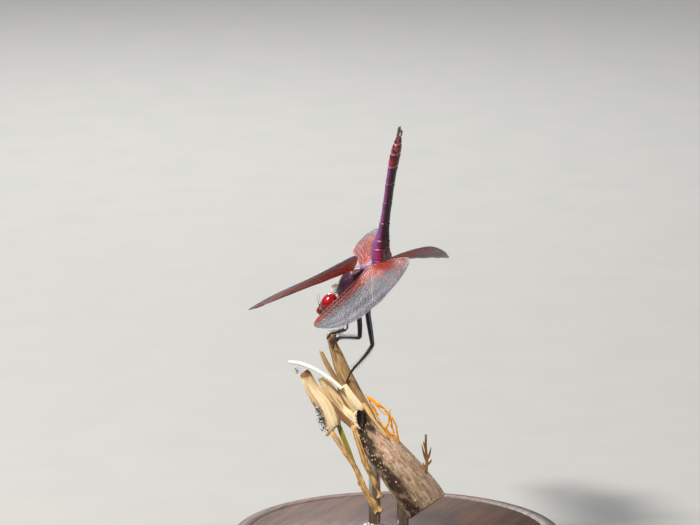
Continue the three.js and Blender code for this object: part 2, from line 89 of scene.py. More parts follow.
class Turned:
    """A frame turned by (head down, to the left, left side up) degrees, moved to a middle."""

    def __init__(self, turn, middle=(0, 0, 0)):
        pitch, yaw, roll = (math.radians(a) for a in turn)
        (cp, sp), (cy, sy), (cr, sr) = ((math.cos(a), math.sin(a)) for a in (pitch, yaw, -roll))
        rz = np.array(((cy, -sy, 0), (sy, cy, 0), (0, 0, 1)))
        rx = np.array(((1, 0, 0), (0, cp, -sp), (0, sp, cp)))
        ry = np.array(((cr, 0, sr), (0, 1, 0), (-sr, 0, cr)))
        self.matrix = rz @ rx @ ry
        self.middle = np.asarray(middle, float) + HINGE

    def out(self, points):
        """(left, ahead, rise) to the row frame."""
        return (np.asarray(points, float) * (1, -1, 1)) @ self.matrix.T + self.middle

    def back(self, points):
        """The row frame to (left, ahead, rise)."""
        return ((np.asarray(points, float) - self.middle) @ self.matrix) * (1, -1, 1)


BODY, HEADWAY = Turned(BODY_TURN), Turned(HEAD_TURN, HEAD)


def srgb(*display):
    """A display colour as linear light."""
    return tuple(c / 255 / 12.92 if c <= 10 else ((c / 255 + 0.055) / 1.055) ** 2.4 for c in display)


def bell(x, middle, width):
    return np.exp(-(((np.asarray(x) - middle) / width) ** 2))


def ramp(x, low, high):
    """0 below low, 1 above high, smooth between."""
    s = np.clip((np.asarray(x, float) - low) / (high - low), 0, 1)
    return s * s * (3 - 2 * s)


def rough(points, scale, seed):
    """Smooth noise from -1 to 1 at points."""
    return np.array([noise.noise(Vector((x * scale + seed, y * scale, z * scale))) for x, y, z in points])


# ---------------------------------------------------------------- paths and meshes
def wheel(count):
    """The cosines and sines of count even turns."""
    angle = TAU * np.arange(count) / count
    return np.cos(angle), np.sin(angle)


def column(x, y, z):
    """Points from their coordinates, each one number or one at each point."""
    return np.stack(np.broadcast_arrays(x, y, z), -1).astype(float)


def unit(vectors):
    return vectors / np.linalg.norm(vectors, axis=-1, keepdims=True)


def heading(path):
    """The direction of a path at each of its points."""
    return unit(np.gradient(path, axis=0))


def lengths(path):
    """How far along a path each of its points is."""
    return np.concatenate(((0,), np.cumsum(np.linalg.norm(np.diff(path, axis=0), axis=1))))


def curve(points, count):
    """A smooth path of count points through a few points."""
    points = np.asarray(points, float)
    t = np.linspace(0, len(points) - 1, count)
    if len(points) == 2:
        return points[0] + np.outer(t, points[1] - points[0])
    return np.stack([through(list(enumerate(values)))(t) for values in points.T], -1)


def loft(rings, caps=True):
    """Points and faces of a surface through rings, an array of rows by sides by 3."""
    rings = np.asarray(rings, float)
    rows, sides = rings.shape[:2]
    index = np.arange(rows * sides).reshape(rows, sides)
    ahead = np.roll(index, -1, axis=1)
    faces = np.stack((index[:-1], ahead[:-1], ahead[1:], index[1:]), -1).reshape(-1, 4).tolist()
    if caps:
        faces += [index[0, ::-1].tolist(), index[-1].tolist()]
    return rings.reshape(-1, 3), faces


def joined(parts):
    """Several (points, faces) as one."""
    points, faces, start = [], [], 0
    for some, fs in parts:
        points.append(np.asarray(some, float))
        faces += [[k + start for k in f] for f in fs]
        start += len(some)
    return np.concatenate(points), faces


def ring(middle, a, b, sides, power=2.0, scale=1.0):
    """An oval with half axes a and b; a power above 2 squares it."""
    c, s = (np.sign(v) * np.abs(v) ** (2 / power) * scale for v in wheel(sides))
    return np.asarray(middle) + np.outer(c, a) + np.outer(s, b)


def egg(place, middle, half, columns=32, rows=20):
    c, s = wheel(columns)
    rings = [np.asarray(middle) + half * column(math.sin(a) * c, math.sin(a) * s, math.cos(a))
             for a in np.linspace(0.02, 0.98, rows) * math.pi]
    return loft(place.out(rings))


def tube(path, radii, sides):
    """A round tube along a path of points, with one radius or one at each point."""
    path = np.asarray(path, float)
    along = heading(path)
    across = unit(np.cross(along, (0.31, 0.2, 0.93) if abs(along[0][2]) < 0.8 else (0.93, 0.31, 0.1)))
    c, s = wheel(sides)
    out = across[:, None] * c[:, None] + np.cross(along, across)[:, None] * s[:, None]
    return loft(path[:, None] + np.broadcast_to(radii, len(path))[:, None, None] * out)


def new_object(name, points, faces):
    mesh = bpy.data.meshes.new(name)
    mesh.from_pydata(np.asarray(points).tolist(), [], faces)
    obj = bpy.data.objects.new(name, mesh)
    bpy.context.scene.collection.objects.link(obj)
    return obj


def piece(name, points, faces, material, slot, nodes=(), **attributes):
    """A new object, in metres, that rides on the body and stands for some nodes."""
    obj = new_object(name, np.asarray(points) * MM, faces)
    obj.data.shade_smooth()
    obj.data.materials.append(material)
    for key, values in attributes.items():
        values, kind, field = np.asarray(values, np.float32), "FLOAT", "value"
        if values.ndim == 2:
            values, kind, field = np.pad(values, ((0, 0), (0, 1)), constant_values=1), "FLOAT_COLOR", "color"
        obj.data.attributes.new(key, kind, "POINT").data.foreach_set(field, values.ravel())
    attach(obj, "root")
    if nodes:
        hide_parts(*nodes)
    return obj


def read(items, field, width=1, kind=np.float32):
    """A field of a mesh's items as rows of width numbers."""
    values = np.empty(len(items) * width, kind)
    items.foreach_get(field, values)
    return values.reshape(-1, width) if width > 1 else values


# ---------------------------------------------------------------- materials
class Shade:
    """A procedural material round one Principled shader."""

    def __init__(self, name, **sockets):
        self.material = bpy.data.materials.new(name)
        self.material.use_nodes = True
        self.tree = self.material.node_tree
        self.set(**sockets)

    def feed(self, node, inputs):
        for key, value in inputs.items():
            socket = node.inputs[key]
            if isinstance(value, bpy.types.NodeSocket):
                self.tree.links.new(value, socket)
            else:
                socket.default_value = (*srgb(*value), 1) if socket.type == "RGBA" else value

    def set(self, **sockets):
        inputs = {key.replace("_", " "): value for key, value in sockets.items()}
        self.feed(self.tree.nodes["Principled BSDF"], inputs)

    def add(self, kind, inputs, out=0, **settings):
        """One output of a new node, its inputs given by name or number."""
        node = self.tree.nodes.new("ShaderNode" + kind)
        for key, value in settings.items():
            setattr(node, key, value)
        self.feed(node, inputs)
        return node.outputs[out]

    def attribute(self, name, out="Fac"):
        return self.add("Attribute", {}, out, attribute_name=name)

    def place(self, stretch=(1, 1, 1), grain=None):
        """Millimetres in the row frame or in a piece's own grain, stretched."""
        scale = np.array(stretch) * (1 if grain else 1 / MM)
        return self.add("Mapping", {"Vector": grain or self.add("TexCoord", {}, "Object"), "Scale": scale})

    def noise(self, scale, detail=4.0, roughness=0.55, stretch=(1, 1, 1), grain=None, warp=0.0):
        return self.add("TexNoise", {"Vector": self.place(stretch, grain), "Scale": scale, "Detail": detail,
                                     "Roughness": roughness, "Distortion": warp}, "Fac")

    def spots(self, scale):
        return self.add("TexVoronoi", {"Vector": self.place(), "Scale": scale}, "Distance")

    def span(self, value, low, high, to_low=0.0, to_high=1.0):
        return self.add("MapRange", {"Value": value, "From Min": low, "From Max": high, "To Min": to_low,
                                     "To Max": to_high}, interpolation_type="SMOOTHSTEP")

    def mix(self, factor, a, b):
        return self.add("Mix", {0: factor, 6: a, 7: b}, 2, data_type="RGBA")

    def stained(self, colour, *stains):
        """A colour with stains laid over it: each is (value, low, high, share, new colour)."""
        for value, low, high, share, new in stains:
            colour = self.mix(self.span(value, low, high, 0, share), colour, new)
        return colour

    def math(self, operation, a, b):
        return self.add("Math", {0: a, 1: b}, operation=operation)

    def finish(self, height, depth, strength=1.0, **sockets):
        """Sets the last sockets and a bump whose depth is in millimetres; gives the material."""
        bump = self.add("Bump", {"Height": height, "Strength": strength, "Distance": depth * MM})
        self.set(Normal=bump, **sockets)
        return self.material


def body_look():
    s = Shade("violet_cuticle", Specular_IOR_Level=0.45, Coat_Weight=0.06, Coat_Roughness=0.3,
              Sheen_Weight=0.05, Sheen_Roughness=0.4, Sheen_Tint=(232, 190, 236))
    fine = s.noise(16, 4, 0.6)
    dusty = s.math("MULTIPLY", s.attribute("bloom"), s.span(s.noise(3.2, 6, 0.65), 0.3, 0.72, 0.35, 1.15))
    colour = s.stained(s.attribute("tint", "Color"), (fine, 0.35, 0.75, 0.35, (24, 8, 20)))
    pits = s.math("ADD", s.math("MULTIPLY", fine, 0.6), s.math("MULTIPLY", s.spots(22), 0.5))
    return s.finish(pits, 0.012, Base_Color=s.mix(dusty, colour, (158, 98, 172)),
                    Roughness=s.span(dusty, 0, 0.7, 0.3, 0.62))


def hair_look():
    s = Shade("fine_hair", Roughness=0.5, Specular_IOR_Level=0.35)
    colour = s.stained(s.attribute("tint", "Color"), (s.noise(5, 3), 0.35, 0.7, 0.2, (120, 104, 112)))
    return s.finish(s.noise(20, 2), 0.004, 0.5, Base_Color=colour)


def eye_look():
    s = Shade("crimson_eye", Roughness=0.25, Specular_IOR_Level=0.35, Coat_Weight=0.6, Coat_Roughness=0.05,
              Coat_IOR=1.45, Subsurface_Weight=0.06, Subsurface_Scale=0.0004,
              Subsurface_Radius=(1.0, 0.12, 0.1))
    colour = s.stained((158, 0, 18), (s.attribute("shade"), 0, 1, 1, (44, 0, 4)),
                       (s.noise(1.6, 3), 0.4, 0.75, 0.4, (70, 4, 10)))
    return s.finish(s.span(s.spots(30), 0, 0.55, 1, 0), 0.004, 0.5, Base_Color=colour)


def chitin_look(name, dark, light, roughness=0.28, pale=None):
    s = Shade(name, Roughness=roughness, Specular_IOR_Level=0.55, Coat_Weight=0.35, Coat_Roughness=0.2)
    colour = s.stained(dark, (s.noise(4.5, 5), 0.45, 0.8, 0.8, light))
    # pale paints a glint where a piece's pale attribute is high.
    if pale:
        colour = s.mix(s.attribute("pale"), colour, pale)
    return s.finish(s.noise(18, 3), 0.01, 0.7, Base_Color=colour)


def film_look():
    s = Shade("wing_film", Roughness=0.42, Specular_IOR_Level=0.22)
    amber, pale, milk = s.attribute("amber"), s.attribute("pale"), s.noise(1.3, 5, 0.6)
    # pale: painted sheen that whitens the film and thins its veil towards the end
    colour = s.mix(pale, s.stained((30, 28, 36), (milk, 0.35, 0.7, 1, (64, 62, 74))), (196, 190, 190))
    colour = s.stained(colour, (amber, 0.02, 0.5, 1, (118, 26, 12)), (amber, 0.55, 0.98, 1, (194, 88, 10)))
    veil = s.math("SUBTRACT", s.span(milk, 0.3, 0.75, 0.54, 0.7), s.math("MULTIPLY", pale, 0.2))
    return s.finish(s.noise(2.6, 4), 0.03, 0.6, Base_Color=colour,
                    Alpha=s.math("ADD", veil, s.math("MULTIPLY", amber, 0.28)))


def vein_look():
    s = Shade("wing_veins", Roughness=0.35, Specular_IOR_Level=0.5, Coat_Weight=0.2, Coat_Roughness=0.2)
    pale, grain = s.attribute("pale"), s.noise(5, 3)
    # pale: painted silver sheen, greying the veins and paling their red
    grey = s.mix(pale, s.stained((52, 46, 58), (grain, 0.4, 0.7, 1, (140, 136, 152))), (172, 172, 188))
    bright = s.stained((140, 20, 12), (grain, 0.35, 0.7, 1, (206, 72, 36)))
    bright = s.mix(s.math("MULTIPLY", pale, 0.5), bright, (206, 150, 140))
    colour = s.mix(s.span(s.attribute("red"), 0.1, 0.75), grey, bright)
    return s.finish(grain, 0.01, 0.5, Base_Color=colour)


def bark_look():
    s = Shade("bark", Specular_IOR_Level=0.25)
    streak = s.noise(2.6, 8, 0.65, (1, 1, 0.22), s.attribute("grain", "Vector"))
    colour = s.stained(
        (140, 108, 84), (streak, 0.32, 0.68, 1, (224, 196, 164)),
        (s.noise(0.55, 5, 0.6), 0.42, 0.68, 0.55, (206, 158, 138)),
        (s.noise(0.32, 3), 0.5, 0.68, 0.5, (170, 156, 112)),
        (s.noise(1.4, 6), 0.56, 0.7, 0.55, (96, 64, 46)),
        # tone: painted shade on the stem's near side, in its furrows and inside its broken top, and darker
        # towards the top
        (s.attribute("tone"), 0, 1, 0.92, (34, 20, 16)))
    relief = s.math("ADD", s.math("MULTIPLY", streak, 1.2), s.math("MULTIPLY", s.noise(7, 5), 0.5))
    return s.finish(relief, 0.16, Base_Color=s.mix(s.attribute("dot"), colour, (250, 206, 170)),
                    Roughness=s.span(streak, 0.3, 0.7, 0.75, 0.95))


def wood_look(name, pale, tan, dark):
    s = Shade(name, Specular_IOR_Level=0.3, Sheen_Weight=0.1)
    grain, tone = s.attribute("grain", "Vector"), s.attribute("tone")
    fibre = s.noise(2.2, 7, 0.6, (3.2, 3.2, 0.16), grain)
    band = s.noise(1.6, 4, 0.5, (0.9, 0.9, 0.1), grain)
    colour = s.stained(tan, (fibre, 0.28, 0.74, 1, pale), (band, 0.53, 0.7, 0.6, dark),
                       (tone, 0, 1, 0.85, dark))
    colour = s.mix(s.span(tone, -1, 0, 0.85, 0), colour, pale)
    return s.finish(fibre, 0.07, Base_Color=colour, Roughness=s.span(fibre, 0.3, 0.7, 0.55, 0.8))


def frass_look():
    s = Shade("frass", Roughness=0.8, Specular_IOR_Level=0.3)
    colour = s.stained((196, 198, 206), (s.attribute("tone"), -1, 1, 1, (30, 30, 44)),
                       (s.noise(6, 4), 0.4, 0.7, 0.6, (66, 56, 74)))
    return s.finish(s.noise(9, 4), 0.05, Base_Color=colour)


def base_look():
    s = Shade("dark_wood", Specular_IOR_Level=0.22, Coat_Weight=0.06, Coat_Roughness=0.3)
    pore = s.noise(1.0, 6, 0.7, (0.16, 3.0, 3.0))
    board = s.noise(1.0, 5.0, 0.6, (0.035, 0.5, 0.5), warp=0.6)
    colour = s.stained((66, 38, 22), (board, 0.35, 0.65, 1, (98, 60, 36)),
                       (pore, 0.55, 0.68, 0.6, (38, 20, 12)))
    return s.finish(pore, 0.02, 0.5, Base_Color=colour, Roughness=s.span(pore, 0.4, 0.7, 0.42, 0.6))


def rod_look():
    s = Shade("brushed_rod", Metallic=1.0, Base_Color=(196, 192, 184), Anisotropic=0.5)
    brush = s.noise(1.0, 5, 0.7, (6, 6, 0.4))
    return s.finish(brush, 0.01, 0.5, Roughness=s.span(brush, 0.3, 0.7, 0.22, 0.42))


def floor_look():
    s = Shade("pale_floor", Roughness=0.85, Specular_IOR_Level=0.15)
    colour = s.stained((168, 168, 165), (s.noise(0.08, 4), 0.3, 0.7, 1, (171, 170, 167)))
    return s.finish(s.noise(1.6, 3), 0.02, 0.3, Base_Color=colour)


# The legs' pale colour is a painted glint, laid on the forelegs' femurs.
LEG_LOOK = chitin_look("black_chitin", (11, 10, 12), (40, 32, 34), pale=(214, 220, 236))
BRISTLE_LOOK = chitin_look("bristle", (24, 18, 16), (70, 52, 44), 0.4)
TAIL_LOOK = chitin_look("pale_claspers", (74, 70, 56), (150, 144, 120), 0.45)
BODY_LOOK, HAIR_LOOK, EYE_LOOK, FILM_LOOK, VEIN_LOOK, BARK_LOOK, FRASS_LOOK, BASE_LOOK, ROD_LOOK = (
    look() for look in (body_look, hair_look, eye_look, film_look, vein_look, bark_look, frass_look,
                        base_look, rod_look))
WOODS = {name: wood_look(name, *colours) for name, colours in {
    "split_wood": ((246, 228, 186), (208, 156, 92), (116, 72, 32)),
    "weathered_wood": ((206, 172, 120), (158, 116, 66), (74, 50, 30)),
    "bark_strip": ((236, 200, 134), (178, 124, 66), (84, 48, 28)),
    "dry_twig": ((226, 168, 104), (168, 114, 56), (84, 54, 26)),
    "bleached_fibre": ((246, 244, 228), (228, 220, 196), (176, 150, 112)),
    "end_grain": ((226, 196, 150), (176, 130, 84), (110, 70, 40)),
    # Near-black wood for the stem's hollow: painted shade.
    "hollow_painted_shade": ((74, 48, 32), (34, 22, 15), (12, 8, 6)),
    "olive_bark": ((168, 158, 60), (128, 120, 34), (62, 56, 18)),
    "orange_bast": ((250, 190, 40), (230, 132, 6), (150, 72, 4)),
}.items()}


# ---------------------------------------------------------------- the body's skin
SPINE = [through(list(enumerate(values))) for values in zip(*ABDOMEN)]
NECK = ((0, 8.1, -3.3), (0, 8.9, -3.2), (0, 9.8, -3.2))
HIPS = ((0.95, -4.7, -7.1), (1.15, -3.0, -6.9), (1.15, -1.3, -6.6))
HIP_HALF = (0.52, 0.6, 0.85)
INSIDE = 0.03  # the skin lies this far inside the solids
VOXEL, EASING = 0.085, 5  # the fused skin's squares, and the rounds of smoothing
# Sutures down the thorax's side: (ahead, rise) at the top and at the bottom.
SUTURES = (((4.9, 0.3), (7.3, -5.2)), ((2.9, 0.2), (5.6, -5.9)), ((0.9, 0.0), (3.6, -6.0)))
# Folds of the face: height, depth, width.
FOLDS = ((-0.72, 0.09, 0.07), (-1.22, 0.07, 0.06), (-1.78, 0.06, 0.06))
MOUTH = ("clypeus", "labrum", "labium", "cheek")
FACE = ("frons", "crown", *MOUTH)
# The collar's near white is partly its pale hairs and partly a painted sunlit highlight.
KIND_COLOURS = {
    "saddle": (176, 116, 136), "hinge": (206, 168, 166), "knob": (122, 44, 50), "collar": (240, 238, 236),
    "neck": (70, 44, 48), "hip": (26, 18, 22), "nape": (58, 26, 30), "crown": (72, 10, 52),
    "frons": (124, 10, 18), "clypeus": (150, 30, 24), "labrum": (128, 26, 20), "labium": (158, 84, 62),
    "cheek": (158, 84, 62)}


def thorax_part():
    top, bottom, half = (through([(row[0], row[k]) for row in THORAX]) for k in (1, 2, 3))
    rings = []
    for ahead in np.linspace(THORAX[0][0], THORAX[-1][0], 70):
        middle = BODY.out((0, ahead, (top(ahead) + bottom(ahead)) / 2))
        rise = BODY.out((0, ahead, top(ahead) - INSIDE)) - middle
        rings.append(ring(middle, SIDEWAYS * (half(ahead) - INSIDE), rise, 56, 2.3))
    return loft(rings)


def abdomen_part():
    y, z, wide, deep = (f(np.linspace(0, len(ABDOMEN) - 1, 230)) for f in SPINE)
    swell = 1 + 0.02 * np.sin(z * 1.9)
    keel = 0.063 * ramp(z, 3, 6) * (1 - ramp(z, 18, 21))
    back = unit(np.stack((np.zeros(len(z)), -np.gradient(z), np.gradient(y)), -1))
    rise = np.maximum(wheel(48)[1], 0) ** 8
    return loft([ring(HINGE + (0, y[i], z[i]), SIDEWAYS * (wide[i] * swell[i] - INSIDE),
                      back[i] * (deep[i] * swell[i] - INSIDE), 48, 2.2) + np.outer(rise * keel[i], back[i])
                 for i in range(len(z))])


def eggs(side, *rows):
    """Rounded parts on one side, or on the middle: each is (kind, frame, middle, half sizes)."""
    return [(kind, egg(place, (side * left, ahead, rise), half))
            for kind, place, (left, ahead, rise), half in rows]


def skin_parts():
    """The parts of the body's skin as (kind, shape)."""
    parts = [("thorax", thorax_part()), ("abdomen", abdomen_part()),
             ("neck", tube(BODY.out(NECK), (1.1, 1.05, 0.85), 24))]
    for side in SIDES.values():
        parts += eggs(side, ("collar", BODY, (0.5, 8.8, -1.95), (0.78, 0.3, 0.98)))
    parts += eggs(0, ("collar", BODY, (0, 8.7, -2.9), (1.25, 0.5, 0.6)),
                  ("nape", HEADWAY, (0, -0.65, -0.35), (1.92, 0.82, 1.47)),
                  ("crown", HEADWAY, (0, 1.45, 0.12), (0.62, 0.75, 0.6)))
    for side in SIDES.values():
        parts += eggs(side, ("frons", HEADWAY, (0.26, 2.12, -0.32), (0.98, 0.92, 0.7)),
                      ("cheek", HEADWAY, (0.78, 1.35, -1.35), (0.42, 0.72, 0.72)),
                      ("hinge", BODY, (1.6, -0.15, -0.42), (0.62, 1.35, 0.42)),
                      ("hinge", BODY, (1.5, 3.35, 0.1), (0.6, 0.95, 0.4)))
        parts += eggs(0, *(("hip", Turned(BODY_TURN, (side * x, y, z)), (0, 0, 0.1), HIP_HALF)
                           for x, y, z in HIPS))
    return parts + eggs(0, ("clypeus", HEADWAY, (0, 2.02, -0.95), (1.02, 0.95, 0.46)),
                        ("labrum", HEADWAY, (0, 1.72, -1.5), (0.9, 0.8, 0.5)),
                        ("labium", HEADWAY, (0, 0.95, -1.98), (0.95, 0.85, 0.45)),
                        ("saddle", BODY, (0, 1.6, 0.25), (1.15, 2.3, 0.42)),
                        ("knob", Turned((0, 0, 0), (0, 2.35, 1.6)), (0, 0, 0), (0.6, 0.5, 0.75)))


def fused(parts):
    """One closed skin of squares over all the parts: points, faces and normals."""
    obj = new_object("fusing", *joined([shape for _, shape in parts]))
    remesh = obj.modifiers.new("fuse", "REMESH")
    remesh.mode, remesh.voxel_size = "VOXEL", VOXEL
    ease = obj.modifiers.new("ease", "SMOOTH")
    ease.factor, ease.iterations = 0.5, EASING
    done = obj.evaluated_get(bpy.context.evaluated_depsgraph_get()).to_mesh()
    points, normals = (read(done.vertices, field, 3).astype(float) for field in ("co", "normal"))
    corners = read(done.loops, "vertex_index", kind=np.int32)
    starts = read(done.polygons, "loop_start", kind=np.int32)
    bpy.data.objects.remove(obj)
    return points, [face.tolist() for face in np.split(corners, starts[1:])], normals


def nearest_kind(parts, points):
    """For each point, the kind of the nearest part."""
    kinds = np.repeat([kind for kind, _ in parts], [len(shape[0]) for _, shape in parts])
    tree = kdtree.KDTree(len(kinds))
    for index, p in enumerate(np.concatenate([shape[0] for _, shape in parts])):
        tree.insert(p, index)
    tree.balance()
    return kinds[[tree.find(p)[1] for p in points]]


def abdomen_places(points):
    """Height above HINGE, and the angle from the middle of the back, round the abdomen."""
    left, y, height = (points - HINGE).T
    marks = np.linspace(0, len(ABDOMEN) - 1, 200)
    return height, np.arctan2(np.abs(left), np.interp(height, SPINE[1](marks), SPINE[0](marks)) - y)


def carve(points, normals, kinds):
    """Moves the skin in and out: rings of the abdomen, sutures of the thorax, folds of the face."""
    height, _ = abdomen_places(points)
    left, ahead, rise = BODY.back(points).T
    aside, _, up = HEADWAY.back(points).T
    abdomen, thorax = (kinds == "abdomen") & (height > 0.4), kinds == "thorax"
    flank, front = thorax & (rise < -0.3), thorax & (ahead > 4.6)
    move = front * (0.11 * bell(left, 0, 0.1) - 0.05 * bell(np.abs(left), 0.32, 0.16))
    for end in SEGMENT_ENDS:
        move += abdomen * (0.045 * bell(height, end - 0.26, 0.14) - 0.075 * bell(height, end, 0.11))
    for (a0, r0), (a1, r1) in SUTURES:
        behind = ahead - a0 - (rise - r0) * (a1 - a0) / (r1 - r0)
        move += flank * (0.05 * bell(behind, -0.42, 0.3) - 0.1 * bell(behind, 0, 0.13))
    for at, depth, width in FOLDS:
        move -= np.isin(kinds, FACE) * depth * bell(up, at, width)
    move -= (kinds == "frons") * 0.05 * bell(aside, 0, 0.1)
    move += rough(points, 2.2, 3.0) * 0.018 + rough(points, 6.0, 8.0) * 0.006
    return points + normals * move[:, None]


def blended(count, *layers):
    """Colours at count points laid over each other: each is (weight, colour)."""
    result = np.zeros((count, 3))
    for weight, colour in layers:
        weight = np.broadcast_to(np.clip(weight, 0, 1), count)[:, None]
        result = result * (1 - weight) + weight * np.array(srgb(*colour))
    return result


def markings(points, kinds):
    """The cuticle's colour and its waxy bloom."""
    height, turn = abdomen_places(points)
    _, ahead, rise = BODY.back(points).T
    up = HEADWAY.back(points)[:, 2]
    patch, fleck = rough(points, 0.7, 11.0), rough(points, 2.6, 5.0)
    thorax, saddle = kinds == "thorax", kinds == "saddle"
    abdomen = (kinds == "abdomen") & (height > 0.2)
    flank, rear, tail = ramp(turn, 1.15, 1.9), ramp(height, 16.6, 18.5), ramp(height, 19.1, 19.6)
    joints = sum(bell(height, end, 0.1) for end in SEGMENT_ENDS) * 0.7
    before_joint = sum(bell(height, end - 0.75, 0.42) for end in SEGMENT_ENDS[2:])
    high, mouth = ramp(height, 13, 16), np.isin(kinds, MOUTH)
    tint = blended(
        len(points), (1, (24, 10, 24)), *((kinds == kind, colour) for kind, colour in KIND_COLOURS.items()),
        # The thorax warmer and bloomier on top, near black on its sides: partly its own colouring, partly
        # painted shade on the sides.
        (thorax * ramp(rise, -1.3, -0.2), (66, 26, 36)), (thorax * ramp(ahead, 6.2, 8.0), (64, 32, 32)),
        (thorax * ramp(patch, -0.1, 0.4) * 0.4, (48, 14, 44)),
        # The abdomen's underside darker (flank, darkest past turn 2.1): painted shade.
        (abdomen, (104, 24, 84)), (abdomen * flank, (54, 8, 16)),
        (abdomen * ramp(turn, 2.1, 2.5), (30, 6, 12)),
        (abdomen * (1 - ramp(height, 3.0, 5.4)) * bell(turn, 1.6, 0.42), (160, 8, 72)),
        (abdomen * (1 - ramp(height, 2.2, 4.5)) * ramp(turn, 2.0, 2.3) * ramp(fleck, -0.1, 0.3),
         (120, 30, 36)),
        (abdomen * (1 - ramp(height, 4.0, 5.5)) * (1 - ramp(turn, 1.0, 1.5)) * ramp(fleck, 0.0, 0.3) * 0.6,
         (70, 20, 60)),
        (abdomen * rear, (78, 22, 26)), (abdomen * before_joint * bell(turn, 1.5, 0.5) * 0.85, (36, 6, 16)),
        (abdomen * bell(height, 17.9, 0.55) * bell(turn, 1.3, 0.7), (170, 14, 16)),
        (abdomen * tail * ramp(fleck, -0.15, 0.1), (150, 66, 66)),
        (abdomen * tail * ramp(-fleck, 0.0, 0.2), (30, 12, 14)),
        (abdomen * rear * bell(turn, 0, 0.5) * 0.9, (34, 14, 18)),
        (abdomen * joints * (1 - high), (54, 12, 34)), (abdomen * joints * high, (220, 128, 128)),
        (saddle * ramp(fleck, 0.0, 0.25), (226, 196, 204)),
        (saddle * ramp(-fleck, 0.2, 0.4) * 0.8, (70, 26, 44)),
        (np.isin(kinds, ("frons", "crown")) * ramp(up, 0.0, 0.4), (84, 8, 34)),
        (mouth * bell(up, -1.25, 0.07) * 0.7, (206, 130, 96)),
        (mouth * bell(up, -1.85, 0.08) * 0.6, (214, 160, 120)),
        (ramp(fleck, 0.25, 0.7) * 0.35, (30, 10, 22)))
    # No bloom on the abdomen's underside, as part of its painted shade.
    bloom = (abdomen * 0.66 * (1 - flank) * (1 - 0.92 * rear) * (0.75 + 0.5 * fleck)
             + 0.25 * saddle + 0.2 * np.isin(kinds, ("hinge", "knob")) + 0.03 * (kinds == "collar")
             + thorax * (0.02 + 0.5 * ramp(rise, -0.6, 0.2) * ramp(3.6 - ahead, 0, 1.6)
                         + 0.04 * ramp(patch, 0, 0.5)))
    return tint, np.clip(bloom, 0, 1)


def softened(values, faces, times):
    """Values at the points averaged with their neighbours a few times."""
    corners = np.array([f if len(f) == 4 else (*f, f[0]) for f in faces if len(f) < 5])
    a, b = (np.concatenate([corners[:, k] for k in order]) for order in ((0, 1, 2, 3), (1, 2, 3, 0)))
    values = values.reshape(len(values), -1)

    def gathered(numbers):
        return np.bincount(a, numbers[b], len(values)) + np.bincount(b, numbers[a], len(values))

    degree = np.maximum(gathered(np.ones(len(values))), 1)[:, None]
    for _ in range(times):
        values = 0.4 * values + 0.6 * np.stack([gathered(numbers) for numbers in values.T], -1) / degree
    return values


def body_skin():
    """The skin, and its points, normals, kinds and colours for the hairs."""
    parts = skin_parts()
    points, faces, normals = fused(parts)
    kinds = nearest_kind(parts, points)
    points = carve(points, normals, kinds)
    tint, bloom = markings(points, kinds)
    tint = softened(tint, faces, 2)
    obj = piece("body_skin", points, faces, BODY_LOOK, "thorax",
                ("thorax", "abdomen_base", "abdomen_waist", "abdomen_middle", "abdomen_rear", "abdomen_end",
                 "neck", "head", "face"), tint=tint, bloom=softened(bloom, faces, 5)[:, 0])
    return obj, points, normals, kinds, tint


skin, skin_points, skin_normals, skin_kinds, skin_tint = body_skin()


# ---------------------------------------------------------------- hairs
PATCH = 0.0015  # half a hair's patch on the skin's OFBake map
HAIR_STEPS = np.array((-0.06, 0.35, 0.7, 1.0))  # where a hair's rings lie along it
HAIR_TAPER = np.array((1.0, 0.85, 0.55, 0.12))
HAIR_SIDES = 3
HAIR_POINTS = HAIR_SIDES * len(HAIR_STEPS)


def skin_uvs():
    """Unwraps the skin's own shape as OFBake: the place there of each of its points."""
    skin.data.uv_layers.new(name="OFBake")
    bpy.context.view_layer.objects.active = skin
    skin.select_set(True)
    bpy.ops.object.mode_set(mode="EDIT")
    bpy.ops.mesh.select_all(action="SELECT")
    bpy.ops.uv.smart_project(angle_limit=math.radians(66), island_margin=0.002)
    bpy.ops.object.mode_set(mode="OBJECT")
    skin.select_set(False)
    uvs = np.zeros((len(skin_points), 2))
    corners = read(skin.data.loops, "vertex_index", kind=np.int32)
    uvs[corners] = read(skin.data.uv_layers["OFBake"].data, "uv", 2)
    return uvs


def hair_coat(name, weight, count, lie, length, radius, upright, colour, share, slot, uvs):
    """Thin tapering three-sided hairs that lean along lie, more of them where weight is high.

    upright is how far they stand off the skin, and share how far they leave its colour.
    """
    chosen = rng.choice(len(weight), count, replace=False, p=weight / weight.sum())
    root, normal = skin_points[chosen], skin_normals[chosen]
    lie = np.broadcast_to(lie, (count, 3)) + rng.normal(0, 0.28, (count, 3))
    lie = unit(lie - normal * (lie * normal).sum(1)[:, None])
    length = length * rng.uniform(0.6, 1.15, count)
    bend = 0.35 * HAIR_STEPS ** 2
    off, over = upright * (HAIR_STEPS - bend), (1 - upright) * HAIR_STEPS + bend
    line = root[:, None] + length[:, None, None] * (normal[:, None] * off[:, None]
                                                    + lie[:, None] * over[:, None])
    c, s = wheel(HAIR_SIDES)
    out = np.cross(normal, lie)[:, None] * c[:, None] + normal[:, None] * s[:, None]
    points = line[:, :, None] + out[:, None] * (radius * HAIR_TAPER)[:, None, None]
    _, hair = loft(points[0])
    faces = [[corner + HAIR_POINTS * k for corner in face]  # the sides, then the two ends
             for part in (hair[:-2], hair[-2:-1], hair[-1:]) for k in range(count) for face in part]
    tint = skin_tint[chosen] * (1 - share) + np.broadcast_to(colour, skin_tint.shape)[chosen] * share
    obj = piece(name, points.reshape(-1, 3), faces, HAIR_LOOK, slot,
                tint=np.repeat(tint, HAIR_POINTS, axis=0))
    patch = (uvs[chosen][:, None] + PATCH * np.stack(wheel(HAIR_POINTS), -1)).reshape(-1, 2)
    corners = read(obj.data.loops, "vertex_index", kind=np.int32)
    obj.data.uv_layers.new(name="OFBake").data.foreach_set("uv", patch[corners].astype(np.float32).ravel())


